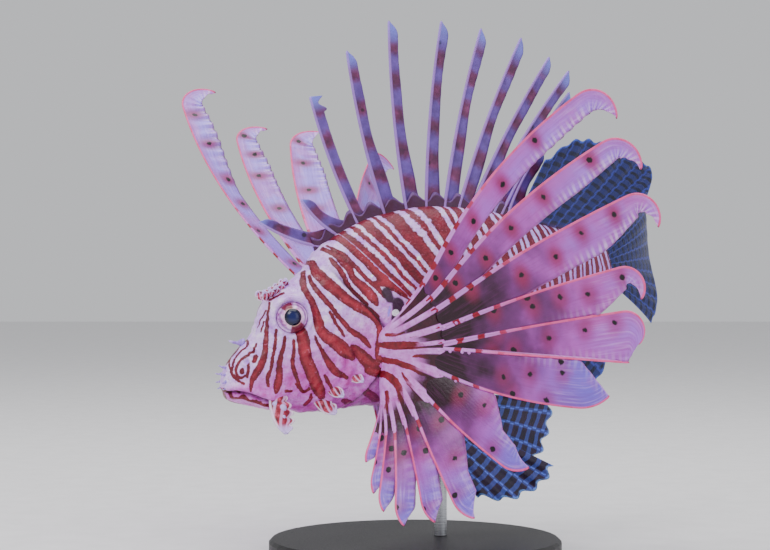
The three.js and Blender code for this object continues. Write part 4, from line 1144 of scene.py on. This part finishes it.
def make_wavering_bars():
    """Bars from a bar number: red in the middle, a pale line each side of a thin red one."""
    group, given, out = effect_group(
        "wavering_bars", ("Number", "Waver", "Thin Line", "Pale Width"), ("Pale", "Edge", "Across"),
    )
    paint = Paint(group)
    slow = paint.times(paint.waver(120.0, 2.0), 0.7)
    quick = paint.times(paint.waver(520.0, 3.0, 0.6), 0.5)
    shift = paint.times(paint.plus(slow, quick), given["Waver"])
    # A whole number is added so that nothing is folded at zero.
    across = paint.calc("PINGPONG", paint.plus(paint.plus(given["Number"], shift), 100.0), 0.5)

    def soft_edge(at, softness, *ends):
        return paint.between(across, paint.minus(at, softness), paint.plus(at, softness), *ends)

    inner = soft_edge(given["Thin Line"], 0.02)
    outer = soft_edge(given["Pale Width"], 0.025, 1.0, 0.0)
    edge_at = paint.plus(given["Pale Width"], 0.03)
    paint.fill(out["Pale"], paint.times(inner, outer))
    paint.fill(out["Edge"], paint.between(paint.gap(across, edge_at), 0.0, 0.055, 1.0, 0.0))
    paint.fill(out["Across"], across)
    return group


WET_GRAIN = make_wet_grain()
WAVERING_BARS = make_wavering_bars()


def new_finish(name):
    finish = bpy.data.materials.new(name)
    finish.use_nodes = True
    return Paint(finish.node_tree, finish)


def banded_skin():
    """Brick red bars and stripes on a pink and lilac ground, with the dark hollow behind the gill cover."""
    paint = new_finish("banded_skin")
    length, height, number = paint.fact("length"), paint.fact("height"), paint.fact("bar")
    waver = paint.between(length, 20.0, 170.0, 0.4, 0.3)
    pale_width = paint.between(length, 60.0, 200.0, 0.25, 0.31)
    bars = paint.use(WAVERING_BARS, Number=number, Waver=waver, Thin_Line=0.085, Pale_Width=pale_width)
    # Ahead of the third pair of pale bars the stripes follow their own courses.
    ragged = paint.waver(620.0, 3.0, 0.6)
    gap = paint.times_plus(ragged, 1.3, paint.fact("red_gap"))
    behind = paint.between(number, TRACED_BARS - 0.03, TRACED_BARS + 0.03)
    pale_mask = paint.choose(behind, paint.between(gap, -0.14, 0.14), bars["Pale"])
    edge_ahead = paint.between(paint.calc("ABSOLUTE", paint.plus(gap, 0.45)), 0.05, 0.5, 1.0, 0.0)
    edge = paint.choose(behind, edge_ahead, bars["Edge"])
    tone = paint.cloud(210.0, 4.0, 0.6)
    flecks = paint.cloud(720.0, 3.0, 0.6)
    red = paint.ramp(tone, (0.3, tint(90, 6, 26)), (0.5, tint(126, 12, 38)), (0.7, tint(166, 40, 64)))
    heart = paint.times(paint.between(gap, -2.4, -1.0, 0.55, 0.0), paint.minus(1.0, behind))
    red = paint.coats(
        red,
        (heart, tint(178, 46, 62)),
        (paint.between(height, 0.6, 1.0, 0.0, 0.55), tint(108, 22, 48)),
        (paint.times(edge, 0.55), tint(82, 6, 24)),
        (paint.between(flecks, 0.62, 0.7, 0.0, 0.35), tint(214, 120, 160)),
    )
    # The pale ground is pinker low on the body and whiter and bluer high up: partly its own colour, partly
    # painted light from above and painted shade below.
    low = paint.ramp(tone, (0.3, tint(190, 62, 160)), (0.5, tint(212, 96, 206)), (0.7, tint(232, 150, 240)))
    high = paint.ramp(
        tone, (0.3, tint(198, 130, 236)), (0.5, tint(224, 180, 255)), (0.7, tint(244, 226, 255)),
    )
    pale = paint.blend(paint.between(height, 0.3, 0.72), low, high)
    pale = paint.blend(paint.between(flecks, 0.33, 0.4, 0.35, 0.0), pale, tint(176, 60, 104))
    tailward = paint.between(length, 110.0, 190.0, 0.0, 0.6)
    red = paint.blend(tailward, red, tint(104, 34, 62))
    pale = paint.blend(tailward, pale, tint(176, 150, 250))
    colour = paint.blend(pale_mask, red, pale)
    colour = paint.blend(paint.times(paint.fact("throat"), 0.45), colour, tint(150, 60, 130))
    hollow = paint.times_plus(ragged, 0.6, paint.fact("armpit"))
    colour = paint.coats(
        colour,
        (paint.between(hollow, -0.6, 0.5, 0.97, 0.0), tint(44, 2, 34)),
        (paint.between(paint.fact("armpit_rim"), -0.2, 0.4, 0.9, 0.0), tint(150, 130, 250)),
        (paint.between(paint.fact("white_spot"), 0.85, 1.05, 1.0, 0.0), tint(250, 250, 255)),
        # Painted shade: dark in the grooves of the mouth and the gill slit.
        (paint.times(paint.fact("cleft_shade"), 0.8), tint(52, 6, 22)),
    )
    return paint.complete_wet(colour, 760.0, 0.8, 0.0004, 0.25, pale_mask, 0.35)


def spotted_web(name, dark, mid, tip, dark_from, dark_to):
    """Web of a pectoral fin: dark at the root, lilac further out, with dark spots in soft red clouds."""
    paint = new_finish(name)
    names = ("along", "reach", "off_ray", "to_rim", "ray", "spot", "halo")
    along, reach, off_ray, rim, ray, spot, halo = (paint.fact(n) for n in names)
    # Streaks are a cloud that is drawn out along the ray.
    shares = (("X", off_ray, 1.1), ("Y", along, 0.06), ("Z", ray, 3.7))
    drawn_out = paint.add("CombineXYZ", **{axis: paint.times(value, share) for axis, value, share in shares})
    streak = paint.cloud(1.0, 2.0, at=drawn_out.outputs[0])
    mottle = paint.cloud(62.0, 3.0, 0.5)
    # The upper rays are dark for less of their length.
    start = paint.plus(reach, paint.between(ray, 0.0, 3.0, 0.28, 0.0))
    far = paint.times_plus(paint.minus(mottle, 0.5), 0.6, start)
    dim = tuple(mix(np.array(dark), np.array(mid), 0.35))
    dim_at = mix(dark_from, dark_to, 0.55)
    web = paint.ramp(far, (dark_from, dark), (dim_at, dim), (dark_to, mid), (0.97, tip))
    beyond_dark = paint.between(start, dark_to - 0.15, dark_to + 0.1)
    blush = paint.times(paint.between(off_ray, 0.5, 7.0, 0.4, 0.0), beyond_dark)
    web = paint.blend(blush, web, tint(206, 74, 160))
    low_tip = paint.times(paint.between(ray, 4.5, 6.0), paint.between(reach, 0.55, 0.9, 0.0, 0.75))
    web = paint.blend(low_tip, web, tint(92, 88, 216))
    outer = paint.between(reach, dark_to, dark_to + 0.1)
    web = paint.coats(
        web,
        (paint.times(paint.between(mottle, 0.5, 0.66, 0.0, 0.4), outer), tint(196, 70, 160)),
        (paint.times(paint.between(streak, 0.5, 0.7, 0.0, 0.25), outer), tint(236, 190, 255)),
        (paint.between(streak, 0.5, 0.3, 0.0, 0.2), tint(120, 40, 110)),
    )
    spot = paint.plus(spot, paint.waver(500.0, 1.0))
    waves = paint.calc("SINE", paint.times_plus(along, 2.1, paint.times(mottle, 9.0)))
    pleats = paint.between(waves, -0.4, 0.8)
    at_rim = paint.times(paint.between(rim, 0.5, 6.0, 0.45, 0.0), paint.between(reach, 0.5, 0.72))
    at_rim = paint.times(at_rim, paint.between(ray, 2.0, 3.0, 1.0, 0.3))
    web = paint.blend(paint.times(at_rim, pleats), web, tint(250, 226, 255))
    haze = paint.times(paint.between(halo, 0.8, 6.4, 0.85, 0.0), paint.between(ray, 2.0, 4.0, 1.0, 0.6))
    web = paint.coats(
        web,
        (haze, tint(146, 30, 80)),
        (paint.between(spot, 1.25, 1.75, 1.0, 0.0), tint(16, 4, 18)),
        (paint.between(rim, 0.2, 0.9, 0.5, 0.0), tint(232, 150, 226)),
    )
    number = paint.calc("DIVIDE", along, 11.0)
    bars = paint.use(WAVERING_BARS, Number=number, Waver=0.6, Thin_Line=0.0, Pale_Width=0.33)
    shaft = paint.blend(paint.between(bars["Across"], 0.3, 0.36), tint(216, 136, 226), tint(150, 14, 44))
    shaft = paint.blend(paint.between(reach, 0.3, 0.5, 0.0, 0.9), shaft, tint(236, 84, 146))
    half_shaft = paint.between(reach, 0.12, 0.55, 1.7, 0.5)
    on_shaft = paint.between(paint.minus(off_ray, half_shaft), -0.1, 0.35, 1.0, 0.0)
    colour = paint.blend(on_shaft, web, shaft)
    return paint.complete_wet(colour, 1100.0, 0.3, 0.00022, 0.2, streak, 0.8)


def pennant_finish():
    """Dorsal spines: brownish red and pale purple bands with small dark dots, maroon at the base."""
    paint = new_finish("dorsal_pennant")
    along, reach, off_ray, rim, ray = (paint.fact(n) for n in ("along", "reach", "off_ray", "to_rim", "ray"))
    number = paint.plus(paint.calc("DIVIDE", along, 16.0), paint.times(ray, 0.37))
    bars = paint.use(WAVERING_BARS, Number=number, Waver=0.45, Thin_Line=0.0, Pale_Width=0.24)
    mottle = paint.cloud(200.0, 4.0, 0.6)
    red = paint.ramp(mottle, (0.3, tint(66, 12, 40)), (0.55, tint(104, 30, 66)), (0.75, tint(134, 54, 96)))
    pale = paint.ramp(mottle, (0.3, tint(80, 52, 124)), (0.7, tint(108, 78, 170)))
    colour = paint.blend(paint.between(bars["Across"], 0.12, 0.4, 1.0, 0.12), red, pale)
    colour = paint.coats(
        colour,
        (paint.between(paint.cells(120.0), 0.1, 0.17, 0.85, 0.0), tint(30, 6, 22)),
        (paint.between(along, 2.0, 14.0, 0.85, 0.0), tint(62, 6, 30)),
        (paint.between(reach, 0.86, 0.97, 0.0, 0.7), tint(120, 130, 236)),
        (paint.between(rim, 0.1, 0.6, 0.35, 0.0), tint(160, 116, 210)),
        # Painted highlight: the spine along the front edge of each pennant is lightened.
        (paint.between(off_ray, 0.4, 0.9, 0.6, 0.0), tint(188, 140, 236)),
    )
    return paint.complete_wet(colour, 1200.0, 0.4, 0.0002, 0.2)


def ribbed_finish(name, deep, sheen, ray_colour, rim_colour, dash, dash_width):
    """Dark webs between pale dashed rays, in courses like bricks, with a pale beaded rim."""
    paint = new_finish(name)
    along, reach, ray, shaft, rim = (paint.fact(n) for n in ("along", "reach", "ray", "shaft", "to_rim"))
    mottle = paint.cloud(150.0, 4.0, 0.6)
    web = paint.ramp(mottle, (0.3, deep), (0.7, sheen))
    # Every second web has its dark blots half a course further out.
    course = paint.plus(paint.calc("DIVIDE", along, dash), paint.times(paint.calc("FLOOR", ray), 0.5))
    beats = paint.use(WAVERING_BARS, Number=course, Waver=0.35, Thin_Line=0.0, Pale_Width=dash_width)
    web = paint.blend(paint.times(beats["Pale"], 0.3), web, ray_colour)
    on_ray = paint.between(shaft, 0.3, 0.75)
    dashed = paint.times(on_ray, paint.times_plus(beats["Pale"], 0.55, 0.3))
    colour = paint.blend(dashed, web, ray_colour)
    beads = paint.use(WAVERING_BARS, Number=paint.times(ray, 2.0), Waver=0.2, Thin_Line=0.0, Pale_Width=0.3)
    edge = paint.times(paint.between(rim, 0.5, 1.6, 1.0, 0.0), paint.times_plus(beads["Pale"], 0.6, 0.3))
    colour = paint.blend(edge, colour, rim_colour)
    colour = paint.blend(paint.between(reach, 0.0, 0.12, 0.6, 0.0), colour, tint(110, 44, 84))
    return paint.complete_wet(colour, 1000.0, 0.5, 0.0003, 0.2, shaft, 0.8)


def lobe_finish():
    """Root of the pectoral fins: red stripes on a pale ground, then pale rays on dark webs."""
    paint = new_finish("lobe_skin")
    along, off_ray, gap, ray = (paint.fact(n) for n in ("along", "off_ray", "red_gap", "ray"))
    ragged = paint.waver(620.0, 3.0, 0.6)
    gap = paint.plus(ragged, gap)
    mottle = paint.cloud(260.0, 4.0, 0.6)
    red = paint.ramp(mottle, (0.3, tint(92, 6, 22)), (0.7, tint(152, 24, 44)))
    pale = paint.ramp(mottle, (0.3, tint(196, 92, 190)), (0.7, tint(230, 160, 246)))
    inner = paint.blend(paint.between(gap, -0.14, 0.14), red, pale)
    web = paint.ramp(mottle, (0.3, tint(34, 2, 20)), (0.7, tint(70, 10, 36)))
    outer = paint.blend(paint.between(off_ray, 1.3, 1.8, 1.0, 0.0), web, pale)
    outward = paint.times_plus(paint.minus(mottle, 0.5), 10.0, along)
    # Between the upper rays the dark webs begin nearer the body.
    outward = paint.plus(outward, paint.between(ray, 2.4, 3.6, 9.0, 0.0))
    colour = paint.blend(paint.between(outward, 15.0, 24.0), inner, outer)
    return paint.complete_wet(colour, 800.0, 0.6, 0.0003, 0.25)


def leaf_finish():
    """Flaps and curls of skin on the head: dark red with pale rims and light tips."""
    paint = new_finish("leaf_skin")
    across, reach = paint.fact("across"), paint.fact("reach")
    mottle = paint.cloud(420.0, 4.0, 0.6)
    colour = paint.ramp(mottle, (0.34, tint(84, 8, 30)), (0.5, tint(150, 24, 48)), (0.66, tint(206, 84, 116)))
    folds = paint.calc("SINE", paint.plus(paint.times(across, 8.0), paint.times(reach, 15.0)))
    colour = paint.blend(paint.between(folds, 0.1, 0.8, 0.0, 0.7), colour, tint(232, 180, 236))
    curl = paint.between(paint.fact("leaf"), FIRST_CURL - 1.0, FIRST_CURL - 0.5, 0.0, 0.75)
    colour = paint.blend(curl, colour, tint(160, 140, 244))
    rim = paint.between(paint.calc("ABSOLUTE", across), 0.68, 0.85)
    colour = paint.coats(
        colour,
        (paint.times(rim, 0.9), tint(248, 224, 250)),
        (paint.between(reach, 0.75, 0.9, 0.0, 0.85), tint(214, 190, 255)),
    )
    return paint.complete_wet(colour, 900.0, 0.6, 0.0003, 0.2)


def eye_finish():
    """Black pupil with a painted blue sheen in its middle, pale iris with red marks, and the red bar that
    crosses the eye.
    """
    paint = new_finish("eye_glaze")
    polar, clock = paint.fact("polar"), paint.fact("clock")
    mottle = paint.cloud(420.0, 4.0, 0.6)
    iris = paint.ramp(
        mottle, (0.34, tint(150, 70, 130)), (0.46, tint(214, 140, 214)), (0.62, tint(246, 214, 250)),
    )
    band = paint.between(paint.gap(polar, 50.0), 2.0, 7.0, 0.6, 0.0)
    iris = paint.blend(band, iris, tint(120, 76, 150))
    aside = paint.calc("COSINE", paint.minus(clock, BAR_CLOCK))
    above = paint.times(paint.between(aside, 0.86, 0.93), paint.between(polar, 60.0, 66.0, 1.0, 0.0))
    below = paint.between(aside, -0.8, -0.88)
    bar = paint.times(paint.plus(above, below), paint.between(mottle, 0.2, 0.36))
    iris = paint.blend(paint.times(bar, 0.95), iris, tint(112, 10, 30))
    ring = paint.between(paint.gap(polar, PUPIL + 2.0), 0.4, 2.0, 1.0, 0.0)
    iris = paint.blend(paint.times(ring, 0.5), iris, tint(236, 200, 170))
    # Painted sheen: the pupil is blue in its middle, black towards its edge.
    pupil = paint.blend(paint.between(polar, 6.0, PUPIL, 0.0, 1.0), tint(10, 22, 84), tint(2, 4, 20))
    colour = paint.blend(paint.between(polar, PUPIL - 0.8, PUPIL + 0.8, 1.0, 0.0), iris, pupil)
    colour = paint.blend(paint.between(polar, 64.0, 70.0), colour, tint(128, 60, 130))
    fine = paint.cloud(1500.0, 2.0)
    gloss = paint.between(fine, 0.3, 0.7, 0.08, 0.16)
    return paint.complete(colour, gloss, fine, 0.00003, 0.3, Coat_Roughness=0.03, Specular_IOR_Level=0.35)


def stand_base_finish():
    paint = new_finish("stand_base_black")
    speck = paint.cloud(2600.0, 2.0)
    broad = paint.cloud(24.0, 3.0)
    colour = paint.ramp(broad, (0.3, tint(30, 29, 30)), (0.7, tint(44, 43, 44)))
    return paint.complete(colour, paint.between(speck, 0.3, 0.7, 0.42, 0.58), speck, 0.00006, 0.0)


def stand_rod_finish():
    paint = new_finish("stand_rod_steel")
    along = paint.add("Mapping", Vector=paint.place, Scale=(60.0, 60.0, 2400.0)).outputs[0]
    lines = paint.cloud(1.0, 3.0, 0.6, at=along)
    colour = paint.ramp(lines, (0.3, tint(150, 152, 156)), (0.7, tint(196, 198, 202)))
    gloss = paint.between(lines, 0.3, 0.7, 0.24, 0.4)
    return paint.complete(colour, gloss, lines, 0.00003, 0.0, Metallic=1.0)


def floor_finish():
    paint = new_finish("pale_floor")
    speck = paint.cloud(60.0, 3.0)
    colour = paint.ramp(speck, (0.3, tint(228, 227, 228)), (0.7, tint(235, 234, 235)))
    return paint.complete(colour, 0.75, speck, 0.0002, 0.0)


# Assembling.

# Height of the camera and of what the lamps are aimed at, in metres.
VIEW_HEIGHT = 0.13


def make_skin():
    skin = lay_grid("skin", *skin_grid())
    dress(skin, banded_skin(), ("head", "lower_jaw", "torso", "tail"))


def make_eye(side, finish, word):
    """An eyeball turned to look sideways, with the angle from its axis and round it kept for the finish."""
    centre, look = eye_frame(side)
    up = unit(np.array([0.3, 0.0, 1.0]) - look * (0.3 * look[0] + look[2]))
    tailward = np.cross(up, look) * side
    polar, clock = np.meshgrid(np.linspace(0, 180, 65), np.linspace(0, 360, 97), indexing="ij")
    p, c = np.radians(polar), np.radians(clock)
    shares = (np.cos(p), np.sin(p) * np.cos(c), np.sin(p) * np.sin(c))
    # The pupil's lens swells out of the ball.
    radius = EYE["radius"] - 0.25 + 0.45 * (1 - soft_step(polar, 12, 34)) - 0.12 * bump_at(polar, PUPIL, 4)
    ball = sum(way * share[..., None] for way, share in zip((look, up, tailward), shares))
    points = centre + ball * radius[..., None]
    piece = lay_grid(f"eye_{word}_ball", points, {"polar": polar, "clock": c})
    dress(piece, finish, (f"eye_{word}",))


def scattered_spots(rays, seed):
    """Spots spread along the rays, as ray number, distance along it and place across its web."""
    chance = np.random.default_rng(seed)
    spots = []
    for i, row in enumerate(rays):
        length, web_width = row[2], row[6]
        if web_width < 5:
            continue
        along = 30 + 8 * chance.random()
        while along < 0.93 * length:
            spots.append((i, along, 0.3 + 0.5 * chance.random()))
            along += 16 + 10 * chance.random()
    return spots


def make_pectoral_fins():
    near = (tint(36, 2, 22), tint(180, 80, 188), tint(172, 112, 236), 0.3, 0.68)
    far = (tint(60, 14, 66), tint(150, 108, 226), tint(170, 144, 255), 0.08, 0.3)
    sides = (
        ("left", PECTORAL_LEFT, -1, LEFT_SPOTS, near),
        ("right", PECTORAL_RIGHT, 1, scattered_spots(PECTORAL_RIGHT, seed=7), far),
    )
    lobe_skin = lobe_finish()
    for word, rays, side, spots, look in sides:
        node = f"pectoral_fin_{word}"
        web = spotted_web(f"pectoral_web_{word}", *look)
        dress(pectoral_fin(f"pectoral_rays_{word}", rays, side, spots), web, (node,))
        dress(pectoral_lobe(f"pectoral_lobe_{word}", rays, side), lobe_skin, (node,))


def make_fins():
    """The dorsal spines, and the dark fins with webs between all their rays."""
    spines = [dorsal_spine(i) for i in range(len(DORSAL_SPINES))] + [dorsal_strip()]
    dress(gather("dorsal_pennants", spines), pennant_finish(), ("dorsal_spines",))

    unpaired = ribbed_finish(
        "unpaired_fin", tint(4, 5, 24), tint(12, 22, 68), tint(50, 62, 160), tint(56, 84, 190), 5.0, 0.3,
    )
    pelvic = ribbed_finish(
        "pelvic_fin", tint(10, 6, 34), tint(44, 10, 56), tint(90, 124, 250), tint(120, 170, 255), 6.0, 0.2,
    )

    def along_edge(low, high, column):
        return lambda c: (mix(low, high, c), section(column, mix(low, high, c)))

    def tail_root(c):
        return TAIL_BASE + 0 * c, mix(section(BACK, TAIL_BASE), section(BELLY, TAIL_BASE), c)

    fins = (
        ("soft_dorsal_fin", SOFT_DORSAL, along_edge(162, 203, BACK), 3, 1.6),
        ("anal_fin", ANAL, along_edge(142, 178, BELLY), 3, 1.2),
        ("tail_fin", CAUDAL, tail_root, 3, 1.8),
    )
    for node, shape, base, sink, flutter in fins:
        lean = shape["lean"]
        piece = ribbed_fin(node + "_web", shape, base, lambda u, lean=lean: lean * u, sink, flutter)
        dress(piece, unpaired, (node,))
    for word, shape, side in (("left", PELVIC_LEFT, -1), ("right", PELVIC_RIGHT, 1)):
        splay = shape["splay"]
        piece = ribbed_fin(
            f"pelvic_web_{word}", shape, lambda c: (76 + 9 * c, -32 + 0 * c),
            lambda u, side=side, splay=splay: side * (6 + splay * u), 5, 1.5,
        )
        dress(piece, pelvic, (f"pelvic_fin_{word}",))


def make_trimmings():
    pieces = []
    for side in (-1, 1):
        pieces += [leaf(k, side=side, **leaf_shape(k, side)) for k in range(len(LEAVES))]
        pieces += [barbel(k, *shape, side=side) for k, shape in enumerate(BARBELS)]
        pieces += [leaf_bead(*shape, side=side) for shape in LEAF_BEADS]
    dress(gather("head_trimmings", pieces), leaf_finish())


def make_stand():
    for node, finish in (("stand_base", stand_base_finish()), ("stand_rod", stand_rod_finish())):
        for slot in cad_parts[node].material_slots:
            slot.material = finish


def make_room():
    """Floor, lights, surroundings and camera."""
    bpy.ops.object.select_all(action="DESELECT")
    bpy.ops.mesh.primitive_plane_add(size=9)
    floor = bpy.context.object
    floor.name = "floor"
    floor.data.materials.append(floor_finish())
    lamps = (
        ("key", (-0.7, -1.0, 1.35), 0.9, 15.0, (1.0, 0.97, 1.0)),
        ("fill", (1.1, -0.9, 0.6), 1.1, 4.5, (0.95, 0.95, 1.0)),
        ("top", (0.0, 0.1, 1.3), 1.2, 13.0, (1.0, 1.0, 1.0)),
    )
    for name, place, size, power, colour in lamps:
        lamp = bpy.data.lights.new(name, "AREA")
        lamp.size = size
        lamp.energy = power
        lamp.color = colour
        holder = bpy.data.objects.new(name, lamp)
        holder.location = place
        x, y, z = np.array([0.0, 0.0, VIEW_HEIGHT]) - np.array(place)
        holder.rotation_euler = (math.atan2(math.hypot(x, y), -z), 0, math.atan2(y, x) - math.pi / 2)
        bpy.context.scene.collection.objects.link(holder)
    world = bpy.data.worlds.new("studio")
    world.use_nodes = True
    sky = world.node_tree.nodes["Background"].inputs
    sky["Color"].default_value = (0.86, 0.87, 0.9, 1)
    sky["Strength"].default_value = 0.75
    bpy.context.scene.world = world
    lens = bpy.data.cameras.new("view")
    lens.lens = 90.52
    lens.sensor_width = 36
    lens.clip_start = 0.05
    camera = bpy.data.objects.new("view", lens)
    camera.location = (-0.014, -0.9, VIEW_HEIGHT)
    camera.rotation_euler = (math.radians(90), 0, 0)
    bpy.context.scene.collection.objects.link(camera)
    bpy.context.scene.camera = camera


make_skin()
glaze = eye_finish()
make_eye(-1, glaze, "left")
make_eye(1, glaze, "right")
make_pectoral_fins()
make_fins()
make_trimmings()
make_stand()
make_room()
